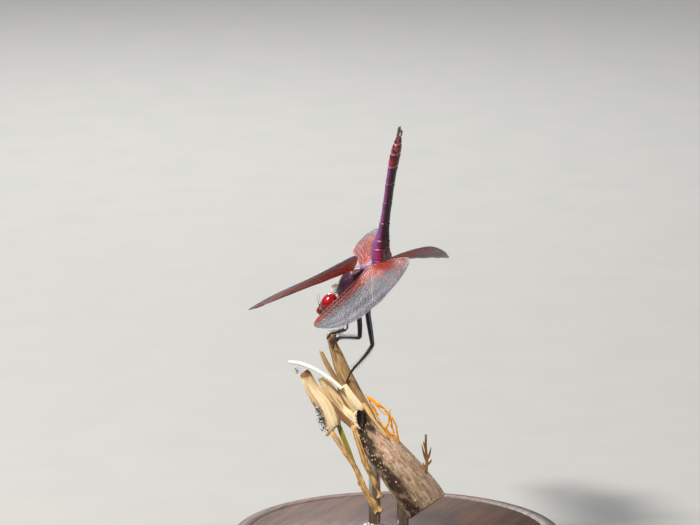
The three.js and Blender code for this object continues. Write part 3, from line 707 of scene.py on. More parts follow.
def coats():
    uvs = skin_uvs()
    _, ahead, rise = BODY.back(skin_points).T
    height, _ = abdomen_places(skin_points)
    up, rear = BODY.matrix @ (0, 0, 1), BODY.matrix @ (0, 1, 0)
    thorax, abdomen = skin_kinds == "thorax", skin_kinds == "abdomen"
    # Collar hairs near white: partly pale hairs, partly a painted highlight.
    white_to_beige = blended(len(rise), (1, (255, 253, 250)), (ramp(rise, -1.7, -1.2), (176, 160, 134)))
    # name, weight, count, lie, length, radius, upright, colour, share, slot
    for coat in (
            ("collar_hairs", (skin_kinds == "collar") * (1.0 + 0.5 * ramp(rise, -1.6, -1.2)), 1200,
             up * 0.9 + rear * 0.1, 0.5, 0.02, 0.4, white_to_beige, 1, "thorax"),
            ("thorax_hairs", thorax * (0.2 + ramp(ahead, 4.5, 7.5)) * (0.3 + ramp(rise, -5.5, -3.5)), 1500,
             up * 0.6 + rear * 0.5, 0.55, 0.011, 0.5, srgb(120, 100, 104), 0.55, "thorax"),
            ("breast_hairs", thorax * ramp(-rise, 4.2, 5.6) + (skin_kinds == "hip"), 700,
             rear * 0.6 - up * 0.4, 0.6, 0.011, 0.6, srgb(150, 140, 146), 0.6, "thorax"),
            ("waist_hairs",
             abdomen * (height > 0.3) * ramp(3.6 - height, 0, 2) + (skin_kinds == "saddle") * 0.7, 700,
             (0, 0.2, 1), 0.42, 0.01, 0.5, srgb(214, 186, 206), 0.5, "abdomen"),
            ("tail_hairs", abdomen * (height > 3.0), 900,
             (0, 0.15, 1), 0.2, 0.007, 0.3, srgb(60, 26, 50), 0.5, "abdomen"),
            ("face_hairs", np.isin(skin_kinds, FACE), 700,
             (0, -0.4, 0.6), 0.28, 0.009, 0.75, srgb(52, 34, 34), 0.6, "face")):
        hair_coat(*coat, uvs)


coats()


# ---------------------------------------------------------------- eyes, ocelli, feelers and claspers
FEELER = ((0.5, 2.0, 0.2), (0.55, 1.95, 1.0), (0.62, 1.72, 1.7), (0.75, 1.4, 2.4))


def head_pieces():
    for word, side in SIDES.items():
        place = Turned(EYE_TURN, HEADWAY.out((side * EYE_SIDE, 0, 0)) - HINGE)
        points, faces = egg(place, (0, 0, 0), np.array(EYE_HALF) - 0.02, 96, 64)
        local = HEADWAY.back(points)
        local[:, 0] = side * np.maximum(side * local[:, 0], 0.04)  # the eyes meet along a seam
        points = HEADWAY.out(local)
        # Darker towards the bottom of each eye: painted shade.
        shade = ramp(-place.back(points)[:, 2] / EYE_HALF[2], -0.2, 0.75)
        piece(f"eye_surface_{word}", points, faces, EYE_LOOK, "eye", (f"eye_{word}",), shade=shade)
    points, faces = joined([egg(HEADWAY, middle, (0.13, 0.13, 0.13), 16, 10)
                            for middle in ((0, 2.02, 0.5), (0.36, 1.75, 0.58), (-0.36, 1.75, 0.58))])
    piece("ocelli", points, faces, EYE_LOOK, "eye", shade=np.ones(len(points)))
    for word, side in SIDES.items():
        route = np.array(FEELER) * (side, 1, 1)
        radii = np.interp(np.arange(26), (0, 5, 7, 25), (0.11, 0.09, 0.036, 0.014))
        piece(f"feeler_{word}", *tube(curve(HEADWAY.out(route), 26), radii, 10), BRISTLE_LOOK, "feeler",
              (f"antenna_{word}",))


def tail_pieces():
    """Two claspers above and a plate below: name, node, left, lift, length, radius."""
    t = np.linspace(-0.15, 1, 16)
    shape = np.interp(t, (-0.15, 0.1, 0.6, 0.85, 1), (0.75, 0.8, 1.0, 0.75, 0.18))
    for name, node, left, lift, length, radius in (
            ("clasper_upper_left", "clasper_left", 0.34, -0.26, 1.5, 0.16),
            ("clasper_upper_right", "clasper_right", -0.34, -0.26, 1.5, 0.16),
            ("tail_plate_lower", "tail_plate", 0.0, 0.32, 0.95, 0.2)):
        path = HINGE + (0, *ABDOMEN[-1][:2]) + np.outer(t * length + 0.25, (0, 0.213, 0.977))
        path += np.outer(1 - 0.25 * t, (left, lift, 0)) + np.outer(0.12 * t * t, (0, -1, 0))
        piece(name, *tube(path, radius * shape, 14), TAIL_LOOK, "appendage", (node,))


head_pieces()
tail_pieces()


# ---------------------------------------------------------------- wings
FILM_EDGE, STIGMA_EDGE = 0.012, 0.06  # half the thickness of the film and of the stigma
# A wing's length, its hinge from HINGE, where its front is notched, whether it is broad, and its leading and
# trailing lines as (share of the length, behind the hinge).
HINDWING = dict(
    length=27.1, root=(1.9, 0, 0), nodus=0.41, broad=True,
    leading=through([(0, 0), (0.1, -0.15), (0.41, -0.15), (0.8, -0.45), (0.96, -0.2), (1, 0.35)]),
    trailing=through([(0, 3.2), (0.02, 5.8), (0.06, 7.8), (0.12, 8.7), (0.22, 9.0), (0.36, 8.8), (0.5, 8.1),
                      (0.66, 7.1), (0.8, 5.9), (0.9, 4.4), (0.96, 2.9), (1, 1.0)]))
FOREWING = dict(
    length=28.8, root=(1.7, -3.4, -1.0), nodus=0.48, broad=False,
    leading=through([(0, 0), (0.1, -0.15), (0.48, -0.1), (0.8, -0.4), (0.96, -0.2), (1, 0.4)]),
    trailing=through([(0, 1.3), (0.03, 3.0), (0.09, 4.3), (0.2, 5.3), (0.34, 6.1), (0.5, 6.6), (0.66, 6.4),
                      (0.8, 5.6), (0.9, 4.2), (0.96, 2.8), (1, 1.0)]))
# The main veins as (t along the wing, share of the chord), for the broad hindwing and the narrow forewing.
HIND_VEINS = {
    "subcosta": ((0.02, 0.06), (0.2, 0.055), (0.41, 0.004)),
    "radius": ((0.02, 0.12), (0.2, 0.1), (0.41, 0.075), (0.6, 0.085), (0.84, 0.12), (0.92, 0.13),
               (0.985, 0.1)),
    "sector_1": ((0.075, 0.175), (0.14, 0.15), (0.25, 0.14), (0.41, 0.15), (0.6, 0.19), (0.8, 0.26),
                 (0.93, 0.36), (0.99, 0.55)),
    "sector_2": ((0.24, 0.14), (0.4, 0.24), (0.52, 0.32), (0.66, 0.42), (0.8, 0.58), (0.9, 0.8),
                 (0.935, 1.0)),
    "sector_3": ((0.17, 0.15), (0.24, 0.2), (0.34, 0.3), (0.46, 0.43), (0.6, 0.58), (0.72, 0.78),
                 (0.79, 1.0)),
    "media": ((0.03, 0.15), (0.1, 0.19), (0.2, 0.27), (0.33, 0.42), (0.46, 0.6), (0.56, 0.8), (0.61, 1.0)),
    "cubitus": ((0.09, 0.25), (0.15, 0.31), (0.24, 0.49), (0.33, 0.74), (0.38, 1.0)),
    "loop_outer": ((0.04, 0.26), (0.09, 0.37), (0.14, 0.53), (0.2, 0.71), (0.25, 0.86), (0.3, 0.9)),
    "loop_inner": ((0.035, 0.3), (0.06, 0.44), (0.09, 0.62), (0.14, 0.8), (0.2, 0.93), (0.3, 0.9)),
    "loop_middle": ((0.06, 0.38), (0.105, 0.54), (0.15, 0.7), (0.2, 0.83), (0.26, 0.89)),
    "anal": ((0.02, 0.22), (0.045, 0.25), (0.09, 0.25)),
    "triangle": ((0.095, 0.19), (0.1, 0.27), (0.17, 0.26)),
}
FORE_VEINS = {
    "subcosta": ((0.02, 0.1), (0.2, 0.075), (0.48, 0.004)),
    "radius": ((0.02, 0.22), (0.2, 0.14), (0.48, 0.1), (0.65, 0.11), (0.85, 0.14), (0.93, 0.14),
               (0.985, 0.1)),
    "sector_1": ((0.09, 0.29), (0.17, 0.23), (0.28, 0.2), (0.48, 0.2), (0.65, 0.24), (0.82, 0.31),
                 (0.94, 0.42), (0.99, 0.6)),
    "sector_2": ((0.28, 0.2), (0.38, 0.25), (0.48, 0.33), (0.62, 0.43), (0.76, 0.58), (0.88, 0.83),
                 (0.92, 1.0)),
    "sector_3": ((0.2, 0.22), (0.3, 0.3), (0.42, 0.42), (0.56, 0.57), (0.68, 0.77), (0.76, 1.0)),
    "media": ((0.03, 0.28), (0.12, 0.3), (0.26, 0.45), (0.4, 0.6), (0.52, 0.8), (0.59, 1.0)),
    "cubitus": ((0.1, 0.42), (0.18, 0.56), (0.28, 0.78), (0.35, 1.0)),
    "anal": ((0.02, 0.5), (0.06, 0.55), (0.1, 0.42)),
    "triangle": ((0.13, 0.3), (0.15, 0.52), (0.19, 0.4), (0.13, 0.3)),
}
VEIN_GIRTH = {"costa": 0.125, "radius": 0.115, "subcosta": 0.08, "media": 0.09, "sector_1": 0.085,
              "cubitus": 0.075, "anal": 0.09}
THIN_VEIN, RIM_VEIN, RUNG, CELL_WALL = 0.06, 0.055, 0.05, 0.042
SHORTEST_WALL, LONGEST_WALL = 0.03, 2.2
SEED_TRIES = 26000
# How near seeds may be: from a vein, along the veins and between them, as shares of a cell's size.
SEED_ASIDE, SEED_ALONG, SEED_APART = 0.36, 0.5, 0.84
# Rungs between two veins: front, behind, from, to, step.
LADDERS = (("costa", "radius", 0.04, "nodus", 1.45), ("costa", "radius", "nodus", 0.84, 1.25),
           ("costa", "radius", 0.93, 0.98, 0.8), ("radius", "sector_1", 0.1, 0.985, 1.05),
           ("radius", "media", 0.04, 0.09, 0.9))


class Wing:
    """One wing's surface: places on it are (t along the wing, share of the chord)."""

    def __init__(self, shape, side, sweep, droop, pitch, painted_sheen):
        self.shape, self.length, self.pitch, self.painted_sheen = shape, shape["length"], pitch, painted_sheen
        sweep, droop = math.radians(sweep), math.radians(droop)
        level = math.cos(droop)
        self.along = np.array((side * math.cos(sweep) * level, -math.sin(sweep) * level, -math.sin(droop)))
        self.level = np.array((side * math.sin(sweep), math.cos(sweep), 0))
        self.above = np.cross(self.along, self.level) * side
        self.root = HINGE + np.multiply((side, 1, 1), shape["root"])

    def chord(self, t):
        """The leading line, and the width behind it."""
        front = self.shape["leading"](t)
        return front, self.shape["trailing"](t) - front

    def flat(self, places):
        """Millimetres along the wing and behind its hinge."""
        t, share = np.asarray(places, float).T
        front, width = self.chord(t)
        return np.stack((t * self.length, front + share * width), -1)

    def unflat(self, flat):
        t = np.clip(flat[:, 0] / self.length, 0, 1)
        front, width = self.chord(t)
        return np.stack((t, (flat[:, 1] - front) / width), -1)

    def pleat(self, t, share):
        """The fold of the stiff front of the wing, in millimetres above its plane."""
        front = 0.13 * np.cos(share * TAU * 9) * bell(share, 0.06, 0.1) * (1 - ramp(t, 0.9, 1))
        ripple = 0.05 * np.sin(share * TAU * 3.2 + t * 4)
        ripple = ripple * ramp(share, 0.15, 0.3) * (1 - ramp(share, 0.8, 1.0))
        return (front + ripple) * ramp(t, 0, 0.06)

    def out(self, flat, lift=0.0):
        """Flat places in the row frame; the pitch is given at the root, the middle and the tip."""
        t = flat[:, 0] / self.length
        root, middle, tip = self.pitch
        angle = np.radians(root * (1 - t) * (1 - 2 * t) + 4 * middle * t * (1 - t)
                           + tip * t * (2 * t - 1))[:, None]
        chord = self.level * np.cos(angle) + self.above * np.sin(angle)
        normal = self.above * np.cos(angle) - self.level * np.sin(angle)
        height = self.pleat(*self.unflat(flat).T) + lift
        return self.root + np.outer(flat[:, 0], self.along) + chord * flat[:, 1:2] + normal * height[:, None]

    def sheet(self, t, share, lift):
        """A closed sheet over a grid of places, lift above and below it, and the places."""
        index = np.arange(len(t) * len(share)).reshape(len(t), len(share))
        places = np.stack((np.repeat(t, len(share)), np.tile(share, len(t))), -1)
        flat, count = self.flat(places), len(places)
        quads = np.stack((index[:-1, :-1], index[1:, :-1], index[1:, 1:], index[:-1, 1:]), -1).reshape(-1, 4)
        rim = np.concatenate((index[:, 0], index[-1, 1:], index[-2::-1, -1], index[0, -2:0:-1]))
        after = np.roll(rim, -1)
        edge = np.stack((after, rim, rim + count, after + count), -1)
        faces = np.concatenate((quads, quads[:, ::-1] + count, edge)).tolist()
        return np.concatenate((self.out(flat, lift), self.out(flat, -lift))), faces, places


def hind_amber(t, share):
    """How amber the hindwing's film is: the root, the front of the base, and the leading edge."""
    amber = np.maximum(0.6 * (1 - ramp(t, 0.02, 0.09)), 0.3 * (1 - ramp(t, 0.1, 0.26)))
    amber = np.maximum(amber, 0.6 * (1 - ramp(t, 0.14, 0.36)) * (1 - ramp(share, 0.4, 0.75)))
    return amber + 0.12 * (1 - ramp(share, 0.12, 0.34))


def blushed_amber(t, share):
    return np.maximum(hind_amber(t, share), 0.34 * (1 - ramp(t, 0.4, 0.8)))


def fore_amber(t, share):
    front = 0.4 * (1 - ramp(share, 0.4, 0.9)) * (1 - ramp(t, 0.55, 0.95))
    return np.maximum((1 - ramp(t, 0.03, 0.17)) * (1 - 0.25 * ramp(share, 0.4, 0.9)), front)


def redness(wing, flat):
    """How red the veins are: along the front and in the base."""
    t, share = wing.unflat(flat).T
    front = 1 - (ramp(share, 0.16, 0.36) if wing.shape["broad"] else 0.85 * ramp(share, 0.5, 1.0))
    basal = (1 - ramp(t, 0.14, 0.36)) * (1 - ramp(share, 0.4, 0.7)) * 0.9
    basal = np.maximum(np.maximum(1 - ramp(t, 0.03, 0.09), basal), 0.55 * (1 - ramp(t, 0.12, 0.28)))
    return np.clip(np.maximum(front * (1 - 0.25 * ramp(t, 0.6, 1)), basal), 0, 1)


def across(line, u):
    """How far behind the hinge a vein is at u along the wing."""
    return float(np.interp(u, line[:, 0], line[:, 1]))


def cell_size(wing, flat):
    """The width of a cell of the net, in millimetres."""
    t, share = wing.unflat(flat).T
    size = 0.46 + 0.3 * ramp(0.45 - share, 0, 0.35) + 0.1 * bell(t, 0.45, 0.3)
    return size - 0.06 * ramp(0.3 - t, 0, 0.2) * wing.shape["broad"]


def net_seeds(wing, lines):
    """Middles of cells: pairs on both sides of each vein of lines, and a fill between."""
    draw = np.random.default_rng(11 if wing.shape["broad"] else 12)
    kept = []
    for line in lines:
        length = lengths(line)
        at = 0.25
        while at < length[-1]:
            spot, ahead = (np.array([np.interp(u, length, line[:, k]) for k in (0, 1)])
                           for u in (at, at + 0.1))
            size = float(cell_size(wing, spot[None])[0])
            (x, y), step = ahead - spot, np.linalg.norm(ahead - spot) + 1e-9
            normal = np.array((-y, x)) / step * size * SEED_ASIDE
            for a, b in (spot + normal, spot - normal):
                if all((a - c) ** 2 + (b - d) ** 2 > (SEED_ALONG * size) ** 2 for c, d in kept[-60:]):
                    kept.append((a, b))
            at += size * draw.uniform(0.75, 1.05)
    kept = np.array(kept)
    tries = np.stack((draw.uniform(0, wing.length, SEED_TRIES), draw.uniform(-0.6, 10.5, SEED_TRIES)), -1)
    inside = wing.unflat(tries)[:, 1]
    tries = tries[(inside > 0.02) & (inside < 0.98)]
    for spot, size in zip(tries, cell_size(wing, tries)):
        if ((kept - spot) ** 2).sum(axis=1).min() > (size * SEED_APART) ** 2:
            kept = np.vstack((kept, spot))
    return kept


def net_edges(seeds):
    """The sides of the cells round the seeds, as pairs of flat points."""
    points, _, triangles, *_ = geometry.delaunay_2d_cdt([Vector(p) for p in seeds.tolist()], [], [], 0, 1e-7)
    corners = np.array([tuple(p) for p in points])[np.array(triangles)]
    (ax, ay), (bx, by), (cx, cy) = corners.transpose(1, 2, 0)
    d = 2 * (ax * (by - cy) + bx * (cy - ay) + cx * (ay - by))
    a, b, c = (corners ** 2).sum(-1).T
    middle = np.stack(((a * (by - cy) + b * (cy - ay) + c * (ay - by)) / d,
                       (a * (cx - bx) + b * (ax - cx) + c * (bx - ax)) / d), -1)
    sides = {}
    for index, triangle in enumerate(triangles):
        for a, b in zip(triangle, triangle[1:] + triangle[:1]):
            sides.setdefault((min(a, b), max(a, b)), []).append(index)
    return [middle[f] for f in sides.values() if len(f) == 2]


def cell_walls(wing, lines):
    """The net behind the media, and behind the first sector once that has begun."""
    seeded = [line for key, line in lines.items() if key not in ("subcosta", "radius", "costa")]
    rim = wing.flat(column(np.linspace(0.0, 1.0, 160), 1, 0)[:, :2])
    walls = []
    for pair in net_edges(net_seeds(wing, [rim, *seeded])):
        if not SHORTEST_WALL <= np.linalg.norm(pair[0] - pair[1]) <= LONGEST_WALL:
            continue
        outside, before, ends = False, True, []
        for p, (t, share) in zip(pair, wing.unflat(pair)):
            fronts = [across(lines[key], p[0]) for key, start in (("media", 0.0), ("sector_1", 0.1))
                      if t >= start and p[0] <= lines[key][-1, 0]]
            outside |= not fronts or share > 1.0 or not 0.004 < p[0] / wing.length < 0.998
            before &= bool(fronts) and p[1] < fronts[-1]
            ends.append((p[0], max(p[1], fronts[-1] if fronts else 0.0)))
        if not (outside or before):
            walls.append((np.array(ends), np.full(2, CELL_WALL)))
    return walls


def rungs(wing, lines):
    """The cross veins of the ladders."""
    made = []
    nodus, length = wing.shape["nodus"], wing.length
    for front, behind, start, stop, step in LADDERS:
        start, stop = (nodus if v == "nodus" else v for v in (start, stop))
        lean = 0.22 if start >= nodus else 0.1
        at, k = start * length, 0
        while at < stop * length:
            k += 1
            u = at + 0.12 * math.sin(k * 2.4)
            ends = [(v, across(lines[key], v)) for key, v in ((front, u), (behind, u + lean))]
            made.append((np.linspace(*ends, 5), np.full(5, RUNG)))
            at += step * (1 + 0.1 * math.sin(k * 1.7))
    return made


def wing_net(wing):
    """All the veins of a wing: (flat path, radius at each point, redness at each point)."""
    table = HIND_VEINS if wing.shape["broad"] else FORE_VEINS
    lines = {key: wing.flat(curve(places, 60)) for key, places in table.items()}
    lines["costa"] = wing.flat(column(np.linspace(0.0, 1.0, 110), 0, 0)[:, :2])
    veins = []
    for key, line in lines.items():
        t = line[:, 0] / wing.length
        radius = VEIN_GIRTH.get(key, THIN_VEIN) * (1 - 0.45 * ramp(t, 0.2, 1.0))
        veins.append((line, radius, np.maximum(redness(wing, line), 0.15 + 0.65 * (1 - ramp(t, 0.3, 0.6)))))
    for t, share, count in ((np.linspace(0, 1, 110), 1, 110), (1, np.linspace(0, 1, 12), 12)):
        rim = wing.flat(column(t, share, 0)[:, :2])
        veins.append((rim, np.full(count, RIM_VEIN), np.full(count, 0.12)))
    for path, radius in rungs(wing, lines) + cell_walls(wing, lines):
        veins.append((path, radius, redness(wing, path)))
    return veins


def wing_pieces(name, wing, amber, veins):
    points, faces, places = wing.sheet(np.linspace(0, 1, 120), np.linspace(0, 1, 40), FILM_EDGE)
    t, share = np.tile(places.T, 2)
    # pale: painted sheen towards the end, scaled by the wing's painted_sheen
    piece(f"{name}_film", points, faces, FILM_LOOK, "wing", (name,),
          amber=amber(t, share), pale=ramp(t, 0.45, 0.85) * wing.painted_sheen)
    parts, reds, sheens = [], [], []
    for flat, radius, red in veins:
        sides = 8 if radius[0] > 0.06 else 5
        t, share = wing.unflat(flat).T
        # silver_sheen: painted silver sheen on the veins towards the end and the back, more on wings with
        # more painted_sheen
        silver_sheen = np.maximum(ramp(t, 0.3, 0.8), 0.8 * ramp(share, 0.3, 0.8)) * (0.6 + 0.4 * wing.painted_sheen)
        parts.append(tube(wing.out(flat), radius, sides))
        reds.append(np.repeat(red, sides))
        sheens.append(np.repeat(silver_sheen, sides))
    points, faces, _ = wing.sheet(np.linspace(0.845, 0.925, 14), np.linspace(0.008, 0.118, 5), STIGMA_EDGE)
    parts.append((points, faces))
    reds.append(np.full(len(points), 0.55))
    sheens.append(np.zeros(len(points)))
    piece(f"{name}_veins", *joined(parts), VEIN_LOOK, "wing", red=np.concatenate(reds),
          pale=np.concatenate(sheens))


def wings():
    """Sweep, droop and pitch in degrees, and how pale a painted sheen makes the end, wing by wing."""
    nets = {}
    for name, shape, side, sweep, droop, pitch, painted_sheen, amber in (
            ("forewing_left", FOREWING, 1, 14, 3.3, (58, 38, 38), 0.5, fore_amber),
            ("forewing_right", FOREWING, -1, 26, 7, (28, 35, 54), 0.3, fore_amber),
            ("hindwing_left", HINDWING, 1, -2.3, 9.3, (22, 8, -12), 0.2, hind_amber),
            ("hindwing_right", HINDWING, -1, 7.2, 10.7, (24, 8, 2), 0.6, blushed_amber)):
        wing = Wing(shape, side, sweep, droop, pitch, painted_sheen)
        if shape["broad"] not in nets:
            nets[shape["broad"]] = wing_net(wing)
        wing_pieces(name, wing, amber, nets[shape["broad"]])


wings()


# ---------------------------------------------------------------- legs
# Each leg from hip to claws, from HINGE: (x, y, z, radius), then the stations of its knee and ankle.
LEGS = {
    "foreleg_left": (((0.9, -4.6, -7.3, 0.42), (1.15, -4.9, -8.6, 0.36), (1.75, -4.85, -11.5, 0.3),
                      (1.1, -6.4, -12.2, 0.27), (0.95, -7.9, -12.6, 0.26), (0.85, -8.6, -13.6, 0.25)),
                     2, 4),
    "foreleg_right": (((-0.9, -4.9, -7.3, 0.42), (-1.2, -5.8, -9.1, 0.36), (-1.9, -6.3, -12.3, 0.3),
                       (-1.5, -7.5, -12.8, 0.27), (-1.25, -8.5, -13.2, 0.26), (-1.2, -8.9, -14.3, 0.25)),
                      2, 4),
    "midleg_left": (((1.1, -2.9, -7.2, 0.45), (1.5, -2.5, -8.6, 0.4), (2.0, -2.1, -10.6, 0.38),
                     (2.45, -1.95, -12.5, 0.3), (1.9, -4.2, -12.75, 0.28), (1.35, -6.1, -13.0, 0.26),
                     (1.1, -7.1, -13.7, 0.25), (0.95, -7.5, -15.1, 0.25)), 3, 5),
    "midleg_right": (((-1.1, -3.2, -7.2, 0.45), (-1.5, -3.8, -9.3, 0.4), (-2.2, -3.9, -11.7, 0.38),
                      (-2.6, -4.1, -13.8, 0.3), (-2.1, -5.9, -13.8, 0.28), (-1.6, -7.3, -13.9, 0.26),
                      (-1.45, -8.0, -14.7, 0.25), (-1.4, -8.2, -16.0, 0.25)), 3, 5),
    "hindleg_left": (((1.1, -1.1, -6.8, 0.45), (1.6, -0.8, -8.3, 0.44), (2.5, 0.1, -11.2, 0.4),
                      (3.15, 0.75, -13.4, 0.32), (2.3, -1.0, -15.6, 0.28), (1.05, -3.6, -18.2, 0.26),
                      (0.95, -4.4, -19.4, 0.25), (0.95, -5.0, -20.9, 0.25)), 3, 5),
    "hindleg_right": (((-1.1, -1.5, -6.8, 0.45), (-1.5, -2.1, -9.1, 0.44), (-2.0, -1.9, -12.3, 0.4),
                       (-2.2, -1.6, -14.7, 0.32), (-1.95, -2.9, -16.7, 0.28), (-1.75, -4.7, -18.9, 0.26),
                       (-1.8, -5.5, -20.0, 0.25), (-1.85, -6.1, -21.5, 0.25)), 3, 5),
}
SPIKE_LEAN = 0.9
FEMUR_ROWS, TIBIA_ROWS, FOOT_ROWS = 26, 24, 22
FEMUR_SIDES = 16


def spikes(path, radius, count, length, seed):
    """Two rows of thin spines along a path, leaning to its far end."""
    draw, parts = random.Random(seed), []
    inward = np.array((-np.sign(path[0][0]), -0.5, -0.35))
    for k in range(count):
        i = int((k + 0.5) / count * (len(path) - 1))
        a = heading(path)[i]
        across = unit(np.cross(a, inward))
        for side in (1, -1):
            out = across * side * 0.75 + np.cross(a, across) * 0.66
            start = path[i] + out * radius * 0.7
            size = length * draw.uniform(0.75, 1.1)
            tip = start + (out + a * SPIKE_LEAN) * size / math.hypot(1, SPIKE_LEAN)
            parts.append(tube([start, (start + tip) / 2 - a * 0.06 * size, tip], (0.038, 0.026, 0.008), 5))
    return parts


def leg(name, stations, knee, ankle):
    stations = np.array(stations)
    path, seed = stations[:, :3] + HINGE, sum(map(ord, name))
    femur = curve(path[:knee + 1], FEMUR_ROWS)
    tibia = curve(path[knee:ankle + 1], TIBIA_ROWS)
    foot = curve(path[ankle:], FOOT_ROWS)
    girth = np.interp(np.linspace(0, knee, FEMUR_ROWS), range(knee + 1), stations[:knee + 1, 3])
    shape = np.interp(np.linspace(0, 1, FEMUR_ROWS), (0, 0.08, 0.2, 0.5, 0.88, 0.95, 1),
                      (0.8, 1.0, 0.82, 0.98, 0.88, 0.98, 0.8))
    shin = np.interp(np.linspace(0, 1, TIBIA_ROWS), (0, 0.06, 0.15, 0.9, 1), (0.26, 0.3, 0.25, 0.19, 0.21))
    marks = np.linspace(0, 1, FOOT_ROWS)
    beads = 0.03 * np.maximum(np.sin(marks * TAU * 1.5 - 1.2), -0.3)
    parts = [tube(femur, girth * (0.35 + 0.65 * shape) + 0.05, FEMUR_SIDES), tube(tibia, shin, 14),
             tube(foot, np.interp(marks, (0, 0.1, 0.9, 1), (0.17, 0.18, 0.14, 0.12)) + beads, 12),
             *spikes(femur[4:], 0.3, 9, 0.5, seed), *spikes(tibia, 0.2, 11, 0.85, seed + 1),
             *spikes(foot, 0.11, 6, 0.35, seed + 2)]
    end, back = path[-1], unit(path[-2] - path[-1])
    for side in (1, -1):
        claw = [end + back * 0.1, end - back * 0.12 + (side * 0.1, 0.05, 0),
                end - back * 0.2 + (side * 0.2, 0.22, -0.05)]
        parts.append(tube(curve(claw, 8), np.linspace(0.055, 0.012, 8), 6))
    points, faces = joined(parts)
    # A painted glint: a narrow pale strip on each foreleg's femur above the knee, on its outer side.
    pale = np.zeros(len(points))
    if name.startswith("foreleg"):
        count = len(parts[0][0])
        rise = points[:count, 2] - path[knee, 2]
        out = (points[:count] - np.repeat(femur, FEMUR_SIDES, axis=0)) @ (np.sign(path[0, 0]) * 0.92, 0.38, 0)
        pale[:count] = ramp(rise, 0.0, 0.25) * (1 - ramp(rise, 0.9, 2.2)) * ramp(out, 0.21, 0.31)
    piece(f"{name}_shell", points, faces, LEG_LOOK, "leg", (name,), pale=pale)


for leg_name, leg_rows in LEGS.items():
    leg(leg_name, *leg_rows)


# ---------------------------------------------------------------- perch
# Stations of (x, y, z, half width, half depth) from the row's origin.
STEM = ((0, 5.5, 10.2, 3.75, 3.7), (0, 4.1, 12.0, 3.75, 3.7), (0, 0.8, 15.7, 3.5, 3.5),
        (0, -2.5, 19.2, 3.1, 3.1), (0, -4.3, 21.2, 2.6, 2.7), (0, -5.7, 23.0, 2.1, 2.2),
        (0, -6.6, 24.3, 1.95, 1.95), (0, -7.35, 25.5, 1.85, 1.9))
SPLINTER_TALL = (
    (-0.3, -12.35, 38.6, 0.85, 0.8), (-0.3, -12.1, 36.8, 0.65, 0.8), (-0.3, -11.2, 34.7, 1, 1),
    (-0.3, -10.35, 32.5, 1.25, 1.15), (-0.3, -9.4, 30.7, 1.35, 1.2), (-0.3, -8.0, 28.4, 1.3, 1.2),
    (-0.5, -6.3, 25.8, 1.15, 1.1), (-0.5, -4.9, 23.6, 1, 1), (-0.4, -5.0, 23.0, 0.9, 0.9))
SPLINTER_SLAB = ((1.5, -9.3, 30.4, 0.55, 0.3), (1.6, -7.7, 28.3, 0.75, 0.35), (1.5, -6.2, 26.6, 0.7, 0.4),
                 (1.45, -5.9, 26.1, 0.5, 0.4))
SPLINTER_THIN = ((-1.4, -14.8, 35.0, 0.27, 0.27), (-1.5, -13.9, 33.1, 0.45, 0.35),
                 (-1.6, -12.5, 30.9, 0.4, 0.35), (-1.8, -10.4, 28.0, 0.5, 0.4),
                 (-1.6, -8.0, 25.0, 0.55, 0.45), (-1.1, -6.2, 22.4, 0.6, 0.5))
CHUNK_LEFT = ((0.8, -16.6, 31.2, 1, 0.8), (0.8, -15.3, 28.7, 1.3, 1), (0.8, -13.3, 26.1, 1.6, 1.2),
              (0.9, -11.8, 23.5, 1.6, 1.2), (0.9, -11.1, 22.2, 1.2, 1))
CHUNK_RIGHT = ((0.3, -13.9, 31, 0.8, 0.7), (0.3, -12.5, 28.9, 1, 0.9), (0.2, -10.3, 26.4, 1.15, 1.2),
               (0.1, -8.1, 24.2, 1.3, 1.3), (0, -6.2, 22.4, 1.2, 1.2))
FIBRE = ((1.9, -19.3, 33.4, 0.3, 0.3), (1.9, -17.0, 33.3, 0.38, 0.35), (1.9, -14.2, 32.5, 0.4, 0.35),
         (2, -11.4, 31.1, 0.4, 0.35), (2, -9.2, 29.6, 0.36, 0.35))
STRIP_LEFT = ((1.5, -11.9, 22.4, 0.5, 0.35), (1.9, -9.1, 19, 0.4, 0.3), (2.1, -6.9, 16.2, 0.45, 0.3),
              (2.2, -5.5, 13.4, 0.5, 0.3), (2.3, -3.9, 11, 0.6, 0.3), (2.3, -2.2, 8.8, 0.8, 0.3))
STRIP_RIGHT = ((1.7, -7.5, 23.6, 0.45, 0.3), (2.3, -6.0, 20.2, 0.45, 0.3), (2.6, -4.7, 17.2, 0.5, 0.3),
               (2.4, -3.1, 14.2, 0.5, 0.3), (2.3, -2.0, 11.4, 0.5, 0.3))
# Lengths of wood that only the looks have.
# The two SLAB_SHADE lengths are dark wood in the gaps round the slab: painted shade.
SLAB_SHADE_LOW = ((0.5, -13.1, 28.4, 0.5, 0.4), (0.5, -11.6, 26.9, 0.9, 0.7), (0.6, -10.1, 25.2, 1.1, 0.8),
                  (0.8, -8.4, 23.8, 0.9, 0.7), (0.6, -6.9, 22.0, 0.5, 0.5))
SLAB_SHADE_HIGH = ((0.2, -11.0, 30.3, 0.4, 0.4), (0.4, -9.7, 28.3, 0.75, 0.6), (0.5, -8.3, 26.3, 0.8, 0.7),
                   (0.5, -6.8, 24.3, 0.6, 0.5))
SLAB_EDGE = ((1.0, -10.2, 29.7, 0.45, 0.3), (1.1, -8.6, 27.6, 0.6, 0.4), (1.1, -7.0, 25.6, 0.6, 0.4),
             (0.9, -5.9, 24.0, 0.4, 0.3))
CHUNK_LEFT_TIP = (0.8, -17.0, 31.8, 0.7, 0.6)
CHUNK_LEFT_FLAKE = ((1.0, -11.3, 24.3, 0.7, 0.5), (1.3, -11.6, 23.0, 0.95, 0.6),
                    (1.45, -12.2, 21.8, 0.6, 0.5), (1.5, -12.5, 21.0, 0.3, 0.3))
